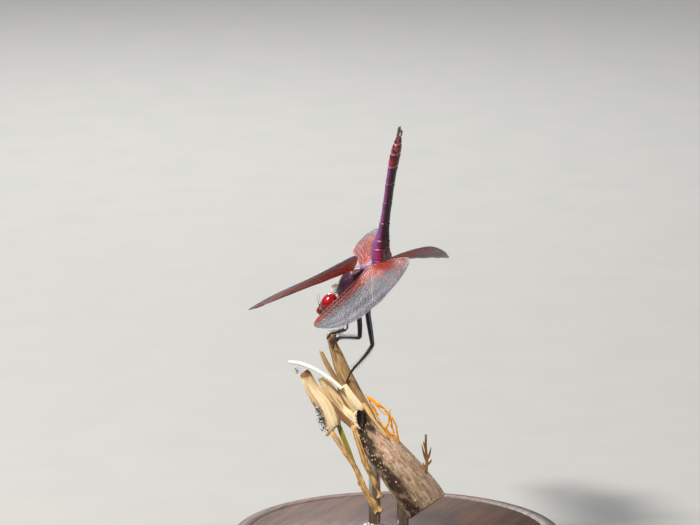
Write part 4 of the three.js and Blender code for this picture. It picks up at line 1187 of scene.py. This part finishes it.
CHUNK_RIGHT_FLAKE = ((0.7, -10.2, 26.6, 0.5, 0.3), (1.1, -9.1, 25.7, 0.8, 0.4), (1.35, -8.0, 25.0, 0.9, 0.5),
                     (1.5, -7.1, 24.3, 0.8, 0.4), (1.6, -6.6, 23.6, 0.5, 0.3))
EDGE_STRIP = ((1.3, -5.8, 27.6, 0.34, 0.3), (1.7, -4.3, 25.7, 0.38, 0.3), (1.7, -2.7, 23.8, 0.3, 0.28),
              (1.65, -1.0, 21.8, 0.2, 0.2))
OLIVE_SLIVER = ((0.7, -10.9, 24.0, 0.25, 0.12), (0.8, -10.3, 22.4, 0.5, 0.14), (0.9, -9.4, 20.4, 0.55, 0.14),
                (1.0, -8.4, 18.6, 0.4, 0.12), (1.1, -7.2, 16.4, 0.1, 0.08))
TWIG = ((0, 5.1, 14.6, 0.3, 0.3), (0, 5.4, 17.9, 0.32, 0.32), (0, 5.2, 20.4, 0.27, 0.27),
        (0, 5.2, 22.9, 0.25, 0.25))
TWIGLETS = (((0, 5.3, 17.9), (0.15, 4.9, 19.4), (0.25, 4.5, 21.1)),
            ((0, 5.4, 18.2), (-0.1, 5.8, 19.3), (-0.2, 6.1, 20.7)),
            ((0, 5.2, 19.8), (0.1, 5.0, 20.9), (0.1, 4.7, 21.6)),
            ((0, 5.35, 16.2), (0.2, 5.0, 17.3), (0.2, 4.7, 18.0)),
            ((0, 5.3, 17.2), (-0.2, 5.9, 18.0), (-0.3, 6.2, 18.5)))
# Loose strands of bast round the solid one, each with its radius.
BAST = (
    (0.17, (0.2, -5.9, 28.6), (0.3, -4.4, 27.9), (0.3, -2.7, 26.9), (0.2, -1.5, 25.4), (0.1, -1.7, 24.0),
     (0.3, -2.3, 22.6)),
    (0.19, (0.3, -5.6, 28.4), (0.4, -3.9, 27.4), (0.2, -2.1, 26.2), (0.1, -1.2, 24.6), (0.0, -0.9, 22.8),
     (0.0, 0.2, 20.4)),
    (0.15, (0.6, -4.6, 26.9), (0.7, -3.5, 25.4), (0.6, -2.4, 23.6), (0.4, -1.2, 21.9), (0.2, 0.1, 20.6)),
    (0.17, (0.2, -1.9, 26.0), (0.1, -0.6, 24.6), (0.0, -0.1, 22.4), (0.0, 0.3, 20.3)),
    (0.1, (0.4, -4.9, 27.2), (0.5, -3.7, 27.0), (0.4, -2.6, 25.9), (0.3, -1.6, 25.6), (0.3, -1.1, 26.6)),
    (0.1, (0.2, -1.4, 24.4), (0.3, -2.0, 23.4), (0.2, -1.3, 22.4), (0.1, -0.4, 22.0)),
    (0.12, (0.5, -5.7, 28.8), (0.2, -4.9, 27.2), (0.0, -4.2, 26.2), (0.1, -3.4, 25.2)))
END_ROWS = 5  # a shaft's rows that its ragged end pulls at
PAINTED_SHADE_SIDE = 1.3  # the angle round the stem of the painted shade on its near side
NOTCH_SIDE = 1.7  # the angle round the stem of the notch in its rim
STEM_ROWS, STEM_SIDES, STEM_SAMPLES = 170, 220, 400
CUT_SIDES = 120
STRAND_ROWS, SLIVER_ROWS = 60, 16


def shaft(stations, seed, rows, sides, furrow, ragged, tone=0.0, ends=(0.0, 0.0), mottle=0.5, side=(0.0, 0.0),
          shrink=0.04, waver=0.0):
    """A length of split wood: its points, faces, and the grain's place and the tone at each point.

    Its width lies in the YZ plane and its depth along X. Furrows run along it, and its ends are ragged
    lengthways. A tone below 0 is paler, above 0 darker; ends gives its change at the two ends, and side
    an angle round the wood and the change there: painted shade on that side when above 0, painted
    light when below 0.
    """
    stations = np.array(stations, float)
    path = curve(stations[:, :3], rows)
    along, length = heading(path), lengths(path)
    swing = column(length * 0.7, seed, 0)
    half, depth = ((curve(stations[:, k:k + 1], rows)[:, 0] - shrink) * (1 + waver * rough(swing, 1.0, shift))
                   for k, shift in ((3, 1), (4, 5)))
    c, s = wheel(sides)
    rings, grain = [], []
    for i in range(rows):
        spot = column(c * 2.2 + seed * 7, s * 2.2, length[i] * 0.16)
        lean = rough(spot, 1.0, seed) * 2.2 + rough(spot * (3, 3, 1.3), 1.0, seed + 4)
        size = 0.98 + np.clip(lean * furrow, -0.3, 0.12)
        grain.append(column(c * half[i], s * depth[i], length[i]))
        left, deep = (grain[-1][:, :2] * size[:, None]).T
        rings.append(path[i] + np.outer(left, unit(np.cross(SIDEWAYS, along[i]))) + np.outer(deep, SIDEWAYS))
        near_end, far = min(i, rows - 1 - i), i > rows / 2
        if near_end < END_ROWS:
            jag = 0.15 + np.clip(rough(column(c * 3.1, s * 3.1, seed + far), 1.3, seed) + 0.3, 0, 1)
            rings[-1] -= np.outer((1 - near_end / END_ROWS) * ragged * jag * (1 if far else -1), along[i])
    points, faces = loft(rings)
    grain = np.concatenate(grain)
    place = grain[:, 2] / length[-1]
    turn = np.tile(TAU * np.arange(sides) / sides, rows)
    tones = tone + rough(grain * (0.9, 0.9, 0.25 + 0.5 * (mottle > 1)), 1.0, seed) * mottle
    tones += ends[0] * (1 - ramp(place, 0, 0.16)) + ends[1] * ramp(place, 0.84, 1)
    tones += side[1] * bell(turn, side[0], 0.55) * ramp(place, 0.12, 0.3)
    return points, faces, grain, np.clip(tones, -1, 1)


def strand(line, radii, sides, girth, shift):
    """A thin tube and its grain's place, shifted so that strands differ."""
    points, faces = tube(line, radii, sides)
    return points, faces, column(np.tile(wheel(sides)[0], len(line)) * girth + shift[0], shift[1],
                                 np.repeat(lengths(line), sides))


def slivers(stations, count, seed, thick, past):
    """Thin pointed splinters along a length of wood, some of them standing past its first end."""
    draw, parts = random.Random(seed), []
    stations = np.array(stations, float)
    path = curve(stations[:, :3], STRAND_ROWS)
    marks = np.linspace(0, len(stations) - 1, STRAND_ROWS)
    half, depth = (np.interp(marks, range(len(stations)), stations[:, k]) for k in (3, 4))
    along = heading(path)
    taper = np.interp(np.linspace(0, 1, SLIVER_ROWS), (0, 0.12, 0.5, 0.85, 1), (0.08, 0.55, 1, 0.8, 0.1))
    for k in range(count):
        angle = TAU * (k + draw.uniform(0, 0.9)) / count
        start = draw.choice((0, 0, 0, draw.uniform(0.05, 0.5)))
        stop = min(1, start + draw.uniform(0.35, 0.9))
        index = np.linspace(start * (STRAND_ROWS - 1), stop * (STRAND_ROWS - 1), SLIVER_ROWS).astype(int)
        lean = angle + np.linspace(draw.uniform(-0.3, 0.3), 0, SLIVER_ROWS)
        lie = 0.93 + 0.06 * draw.random()
        aside = (np.cos(lean) * half[index] * lie)[:, None]
        line = path[index] + unit(np.cross(SIDEWAYS, along[index])) * aside
        line[:, 0] += np.sin(lean) * depth[index] * lie
        if start == 0:
            line[0] -= along[0] * draw.uniform(0.1, past)
            line[1] -= along[0] * 0.04
        radius = draw.uniform(*thick)
        part = strand(line, radius * taper, 6, radius, (k * 1.7, k * 0.9))
        parts.append((*part, np.full(len(part[0]), draw.uniform(-0.7, 0.55))))
    return parts


def wood(name, node, look, slot, *parts):
    """One piece of several closed (points, faces, grain, tone)."""
    points, faces = joined([part[:2] for part in parts])
    grain, tone = (np.concatenate([part[k] for part in parts]) for k in (2, 3))
    return piece(name, points, faces, WOODS[look], slot, (node,) if node else (), grain=grain, tone=tone)


def stem_bark():
    """The stem: a bark shell with a ragged rim and a notch on its near side."""
    stations = np.array(STEM)
    stations[:, 3:] -= 0.05
    rows, sides = STEM_ROWS, STEM_SIDES
    path = curve(stations[:, :3], STEM_SAMPLES)
    length = lengths(path)
    half, depth = (curve(stations[:, k:k + 1], STEM_SAMPLES)[:, 0] for k in (3, 4))
    angle = TAU * np.arange(sides) / sides
    c, s = wheel(sides)
    circle = column(c * 2, s * 2, 0)
    top = length[-1] - 0.3 - 2.3 * np.exp(2.6 * (np.cos(angle - NOTCH_SIDE) - 1))
    top = top - 0.5 * np.clip(rough(circle * 1.6, 1.0, 9), -0.6, 1)
    top = top - 0.25 * np.clip(rough(circle * 6, 1.0, 4), -0.5, 1)
    foot = 0.12 * rough(circle * 3, 1.0, 2)
    grid = foot + (top - foot) * np.linspace(0, 1, rows)[:, None]

    def at(spots, scale):
        """Places on the bark, spots along the stem."""
        where, before, after = (np.stack([np.interp(spots + step, length, path[:, k]) for k in range(3)], -1)
                                for step in (0, -0.2, 0.2))
        across = unit(np.cross(SIDEWAYS, after - before))
        wide, deep = np.interp(spots, length, half) * scale, np.interp(spots, length, depth) * scale
        return where + across * (c * wide)[..., None] + SIDEWAYS * (s * deep)[..., None]

    spot = column(c * 3.4, s * 3.4, grid)
    flat = spot.reshape(-1, 3)
    furrow = (rough(flat * (1.3, 1.3, 0.34), 1.0, 2) * 0.55 + rough(flat * (3.4, 3.4, 1.0), 1.0, 6) * 0.35
              + rough(flat * (0.5, 0.5, 0.4), 1.0, 1) * 0.5).reshape(rows, sides)
    mottle = rough(flat * (1.1, 1.1, 0.7), 1.0, 17).reshape(rows, sides)
    cells = np.array([noise.voronoi(Vector(p))[0][0] for p in (flat * (1.75, 1.75, 1.45)).tolist()])
    size = 0.19 + 0.14 * rough(flat * 0.9, 1.0, 13) + 0.08 * np.tile(bell(angle, PAINTED_SHADE_SIDE, 0.6), rows)
    dot = (1 - ramp(cells, size * 0.6, size)) * ramp(rough(flat * 0.4, 1.0, 5), -0.55, -0.15)
    dot = dot.reshape(rows, sides)
    rings = list(at(grid, 1 + 0.028 * furrow + 0.026 * dot))
    upper = ramp(np.arange(rows) / rows, 0.72, 0.93)[:, None]
    # Tones: painted shade in a band round PAINTED_SHADE_SIDE and in the sunk furrows, and darker towards the
    # top.
    tones = list(bell(angle, PAINTED_SHADE_SIDE, 0.5) * (1.0 + 0.9 * mottle) + 0.5 * np.clip(-furrow, 0, 1)
                 + 0.95 * upper * (0.75 + 0.9 * mottle))
    grain, dots = list(spot), list(dot)
    # The rim turns down into the stem, darker as it sinks: painted shade inside the broken top.
    for sink, scale, tone in ((0.0, 0.95, 0.2), (0.3, 0.87, 0.6), (1.0, 0.8, 1.0), (1.8, 0.76, 1.0),
                              (2.1, 0.3, 1.0)):
        rings.append(at(top - sink, scale))
        grain.append(spot[-1] * (scale, scale, 1))
        tones.append(np.full(sides, tone))
        dots.append(np.zeros(sides))
    piece("stem_bark", *loft(rings), BARK_LOOK, "bark", ("perch_stem",), grain=np.concatenate(grain),
          tone=np.clip(np.concatenate(tones), 0, 1), dot=np.concatenate(dots))


def stem_cut():
    """The sawn lower end of the stem: a pale disc with rings, just proud of the bark."""
    start, ahead = np.array(STEM[0][:3]), unit(np.subtract(STEM[1], STEM[0])[:3])
    across = np.cross(SIDEWAYS, ahead)
    c, s = wheel(CUT_SIDES)
    edge = 3.68 * (1 + 0.03 * rough(column(c, s, 0) * 2, 1.0, 3))
    rings, grain = [], []
    for share, sink in ((0.012, -0.07), (0.1, -0.06), (0.3, -0.07), (0.5, -0.06), (0.7, -0.07), (0.92, -0.06),
                        (0.93, 0.0), (0.9, 0.5)):
        reach = share * edge
        rings.append(ring(start + ahead * sink, across, SIDEWAYS, CUT_SIDES, scale=reach))
        grain.append(column(reach * 0.55, 0.15 * c, 0.15 * s))
    points, faces = loft(rings)
    piece("stem_cut", points, faces, WOODS["end_grain"], "split_wood", grain=np.concatenate(grain),
          tone=np.full(len(points), 0.15))


def hollow():
    """The hollow where the splinters leave the stem, near black as painted shade, with a pale torn lip on its
    left.
    """
    middle, facing = np.array((2.12, -6.0, 24.8)), np.array((0.893, 0.39, 0.225))
    down = np.array((0.0, 0.14, -0.99))
    down = unit(down - facing * np.dot(down, facing))
    across = np.cross(facing, down)
    c, s = wheel(72)
    uneven = 1 + 0.1 * rough(column(c * 1.7, s * 1.7, 0), 1.0, 8)
    rings, grain = [], []
    for share, lift in ((0.6, -0.6), (1.05, -0.5), (1.1, -0.1), (1.04, 0.06), (0.96, 0.1), (0.9, 0.0),
                        (0.84, -0.12), (0.7, -0.24), (0.4, -0.3), (0.04, -0.32)):
        rings.append(ring(middle + facing * lift, across * 0.66, down * 1.42, 72, scale=share * uneven))
        grain.append(column(c * share * 0.5, s * share * 0.5, lift))
    points, faces = loft(rings)
    wood("stem_hollow", "", "hollow_painted_shade", "bark",
         (points, faces, np.concatenate(grain), np.full(len(points), 0.5)))
    left = -1 if across[1] > 0 else 1
    bend = np.linspace(-1.15, 1.5, STRAND_ROWS)
    line = middle + facing * 0.1 + np.outer(left * np.cos(bend) * 0.82, across)
    line = line + np.outer(np.sin(bend) * 1.6, down)
    line = line + rough(line * 1.3, 1.0, 4)[:, None] * 0.08
    thick = np.interp(np.linspace(0, 1, STRAND_ROWS), (0, 0.2, 0.5, 0.8, 1), (0.09, 0.27, 0.3, 0.24, 0.075))
    points, faces = tube(line, thick * (1 + 0.3 * rough(line * 2.4, 1.0, 7)), 14)
    grain = np.concatenate([column(*(v * 0.3 for v in wheel(14)), reach)
                            for reach in np.linspace(0, 4.4, STRAND_ROWS)])
    wood("hollow_lip", "", "split_wood", "split_wood",
         (points, faces, grain, np.clip(-0.8 + rough(points * 1.6, 1.0, 5) * 0.9, -1, 1)))


def splinters():
    wood("splinter_tall_wood", "perch_splinter_tall", "weathered_wood", "split_wood",
         # side: painted light down its near left side
         shaft(SPLINTER_TALL, 2.0, 80, 72, 0.07, 0.5, 0.05, (0.2, 0.9), mottle=0.9, side=(2.6, -1.1)),
         *slivers(SPLINTER_TALL, 12, 21, (0.05, 0.13), 0.25))
    wood("splinter_slab_wood", "perch_splinter_slab", "split_wood", "split_wood",
         shaft(SPLINTER_SLAB, 3.0, 50, 48, 0.035, 0.6, -0.85, (-0.1, 0.9)),
         # dark wood in the gaps: painted shade
         shaft(SLAB_SHADE_LOW, 3.7, 50, 56, 0.12, 0.8, 0.7, (0.3, 1.3)),
         shaft(SLAB_SHADE_HIGH, 3.9, 50, 56, 0.12, 0.8, 0.9, (0.3, 1.3)),
         shaft(SLAB_EDGE, 3.4, 40, 40, 0.06, 0.8, 0.1, (0.3, 0.1)))
    wood("splinter_thin_wood", "perch_splinter_thin", "weathered_wood", "split_wood",
         shaft(SPLINTER_THIN, 4.0, 56, 36, 0.08, 0.4, 0.0, (-0.5, 0.2)),
         *slivers(SPLINTER_THIN, 7, 41, (0.05, 0.1), 0.4))
    wood("chunk_left_wood", "perch_chunk_left", "split_wood", "split_wood",
         # side: painted shade down its lower left side
         shaft((CHUNK_LEFT_TIP, *CHUNK_LEFT), 5.0, 70, 96, 0.09, 1.1, -0.65, (3.0, -0.2), 0.8, (2.5, 0.9)),
         *slivers(CHUNK_LEFT, 5, 51, (0.06, 0.12), 0.2),
         shaft(CHUNK_LEFT_FLAKE, 5.5, 36, 44, 0.06, 0.3, -0.8, (0, 0.2)))
    wood("chunk_right_wood", "perch_chunk_right", "split_wood", "split_wood",
         # side: painted shade down one near side
         shaft(CHUNK_RIGHT, 6.0, 60, 72, 0.05, 0.8, -0.25, (-0.8, 0.5), side=(1.9, 0.5)),
         *slivers(CHUNK_RIGHT, 10, 61, (0.06, 0.15), 0.3),
         shaft(CHUNK_RIGHT_FLAKE, 6.5, 44, 52, 0.1, 0.5, -0.5, (0.2, 0.2), waver=0.2))
    wood("white_fibre", "perch_fibre", "bleached_fibre", "split_wood",
         shaft(FIBRE, 7.0, 60, 26, 0.05, 0.3, -0.95, (0, 0.4)))


def hanging_strips():
    for word, stations, seed, tone, ends, mottle in (("left", STRIP_LEFT, 8.0, 0.0, (-0.9, 0.3), 1.3),
                                                     ("right", STRIP_RIGHT, 9.0, 0.3, (-0.9, 0.0), 1.5)):
        wood(f"strip_{word}", f"perch_bark_strip_{word}", "bark_strip", "bark",
             shaft(stations, seed, 110, 30, 0.2, 0.6, tone, ends, mottle, waver=0.75),
             *slivers(stations, 14, int(seed * 10) + 1, (0.05, 0.12), 0.3))
    wood("edge_strip", "", "bark_strip", "bark",
         shaft(EDGE_STRIP, 9.5, 60, 22, 0.1, 0.6, -0.5, (0.4, 0.4), waver=0.45))
    wood("olive_sliver", "", "olive_bark", "bark",
         shaft(OLIVE_SLIVER, 9.8, 50, 24, 0.05, 0.2))


def bast_strands():
    parts = []
    for k, (radius, *route) in enumerate(BAST):
        line = curve(route, STRAND_ROWS)
        line = line + np.stack([rough(line * 0.9 + k, 1.0, axis * 9.0) * 0.16 for axis in range(3)], -1)
        radii = radius * (1 + 0.35 * rough(line * 1.7, 1.0, k))
        radii *= np.interp(np.arange(STRAND_ROWS), (0, 5, STRAND_ROWS - 6, STRAND_ROWS - 1), (0.4, 1, 1, 0.4))
        part = strand(line, radii, 8, 0.3, (k, k * 0.7))
        parts.append((*part, np.clip(rough(part[0] * 0.8, 1.0, 3) * 0.9, -0.6, 0.8)))
    wood("bast_strands", "perch_bast", "orange_bast", "bast", *parts)


def crumbs():
    """Dark frass caught in silk on the near side of the left chunk, and a little at its tip."""
    draw, tip = random.Random(31), np.array((0.9, -18.2, 31.7))
    route = curve(((1.5, -14.2, 27.4), (1.95, -13.8, 25.6), (2.1, -13.3, 24.0), (1.9, -12.6, 22.4)), 40)
    parts, tones = [], []

    def add(part, tone):
        parts.append(part)
        tones.append(np.full(len(part[0]), tone))

    def near(spread):
        return np.array((0, draw.gauss(0, spread), draw.gauss(0, spread)))

    for where, spread in [(route[min(39, int(abs(draw.gauss(22, 11))))], 0.36)
                          for _ in range(120)] + [(tip, 0.28)] * 10:
        middle = where - HINGE + (draw.uniform(-0.15, 0.2), 0, 0) + near(spread)
        size = draw.uniform(0.05, 0.17)
        place = Turned((draw.uniform(0, 90), draw.uniform(0, 180), 0), middle)
        half = (size, size * draw.uniform(0.6, 1), size * draw.uniform(0.7, 1.3))
        add(egg(place, (0, 0, 0), half, 9, 6), draw.choice((-1.0, -0.7, -0.2, 0.3, 0.7, 0.9)))
    for _ in range(26):
        a = route[draw.randrange(3, 37)] + (0.1, 0, 0) + near(0.3)
        b = a + (draw.uniform(-0.3, 0.3), draw.uniform(-0.7, 0.7), draw.uniform(-0.7, 0.7))
        add(tube([a, (a + b) / 2 + (0.1, 0, -0.1), b], 0.016, 4), -1)
    for _ in range(8):
        a = tip + near(0.2)
        b = np.array((0.8, draw.uniform(-19.2, -16.4), draw.uniform(31.2, 32.9)))
        add(tube([a, (a + b) / 2 + (0, 0, 0.1), b], 0.015, 4), -1)
    piece("frass", *joined(parts), FRASS_LOOK, "split_wood", tone=np.concatenate(tones))


def twig():
    parts = [shaft(TWIG, 11.0, 60, 20, 0.08, 0.3, 0.55, (0.3, -0.7), shrink=0.07)]
    for k, route in enumerate(TWIGLETS):
        blade = [(*p, w, 0.07) for p, w in zip(curve(route, 4), (0.08, 0.2, 0.16, 0.03))]
        parts.append(shaft(blade, 12.0 + k, 24, 14, 0.08, 0.1, 0.45 - 0.1 * k, (0.2, -0.6), shrink=0.0))
    wood("twig_wood", "perch_twig", "dry_twig", "bark", *parts)


for build in (stem_bark, stem_cut, splinters, hollow, hanging_strips, bast_strands, crumbs, twig):
    build()


# ---------------------------------------------------------------- display stand
def lathe(profile, sides=160, middle=(0, 0), caps=True):
    """A turned form through (radius, height) pairs."""
    c, s = wheel(sides)
    return loft([column(middle[0] + r * c, middle[1] + r * s, z) for r, z in profile], caps)


def arc(radius, height, size, start, stop, steps=7):
    """Points of a rounded edge round (radius, height), in degrees from outwards."""
    return [(radius + size * math.cos(a), height + size * math.sin(a))
            for a in np.radians(np.linspace(start, stop, steps))]


base_profile = ((0.4, 0.0), (27.6, 0.0), (27.98, 0.35), (28, 0.8), *arc(27.2, 4.2, 0.8, 0, 90), (25.4, 5.0),
                (25.25, 4.9), (25.05, 4.9), (24.9, 5.0), (0.4, 5.0))
piece("base_turned", *lathe(base_profile), BASE_LOOK, "stand_wood", ("stand_base",))
ferrule = ((0.95, 4.9), (1.02, 4.9), (1.9, 4.9), (1.95, 5.0), (1.95, 5.35), *arc(1.75, 5.5, 0.2, 0, 90, 5),
           (1.35, 5.72), (1.1, 6.1), (1.02, 6.1), (0.95, 6.1))
for rod_name, foot in {"front": (-0.9, -4.6), "rear": (-0.9, 0.6)}.items():
    piece(f"ferrule_{rod_name}", *lathe(ferrule, 64, foot), ROD_LOOK, "stand_rod")
    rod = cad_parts[f"stand_rod_{rod_name}"].data
    rod.materials.clear()
    rod.materials.append(ROD_LOOK)


# ---------------------------------------------------------------- floor, light and camera
VIEW = (113.6, 13.0)  # azimuth and elevation of the camera, in degrees
MM_ACROSS = 117.6     # what the frame shows at the dragonfly
DISTANCE, SENSOR = 1100.0, 36.0
FLOOR_REACH, FLOOR_CURL = 1500, 700
turn, tilt = (math.radians(a) for a in VIEW)
back = np.array((math.sin(turn) * math.cos(tilt), -math.cos(turn) * math.cos(tilt), math.sin(tilt)))
right = np.array((math.cos(turn), math.sin(turn), 0.0))
up = np.cross(back, right)
target = HINGE + (1.9, 0, 0) - 3.61 * right + 0.59 * up


def floor():
    """A flat disc of floor that curls up far away on every side."""
    profile = [(1.0, 0.0), (700.0, 0.0), *arc(FLOOR_REACH, FLOOR_CURL, FLOOR_CURL, -90, -5, 16)]
    points, faces = lathe(profile, 96, caps=False)
    obj = new_object("floor", points * MM, [*faces, list(range(96))[::-1]])
    obj.data.materials.append(floor_look())
    obj.data.shade_smooth()


def placed(name, data, way, distance=1.0):
    """Puts a light or a camera distance times way from the target, in millimetres, and aims it there."""
    obj = bpy.data.objects.new(name, data)
    bpy.context.scene.collection.objects.link(obj)
    obj.location = (target + way * distance) * MM
    obj.rotation_euler = Vector(way.tolist()).to_track_quat("Z", "Y").to_euler()
    return obj


floor()
for lamp, where, size, watts, colour in (
        ("key", -right * 330 + back * 260 + up * 420, 110, 5.4, (1.0, 0.965, 0.91)),
        ("fill", right * 420 + back * 300 + up * 120, 320, 0.6, (0.94, 0.97, 1.0)),
        ("rim", -back * 380 + up * 330 - right * 60, 180, 1.3, (1.0, 1.0, 1.0))):
    light = bpy.data.lights.new(lamp, "AREA")
    light.shape, light.size, light.energy, light.color = "DISK", size * MM, watts, colour
    placed(lamp, light, where)

world = bpy.data.worlds.new("studio")
world.use_nodes = True
world.node_tree.nodes["Background"].inputs["Color"].default_value = (0.93, 0.95, 1.0, 1)
world.node_tree.nodes["Background"].inputs["Strength"].default_value = 0.35
bpy.context.scene.world = world
bpy.context.scene.view_settings.view_transform = "Standard"

camera = bpy.data.cameras.new("camera")
camera.sensor_width = SENSOR
camera.lens = SENSOR * DISTANCE / MM_ACROSS
camera.clip_start, camera.clip_end = 0.05, 20
bpy.context.scene.camera = placed("camera", camera, back, DISTANCE)
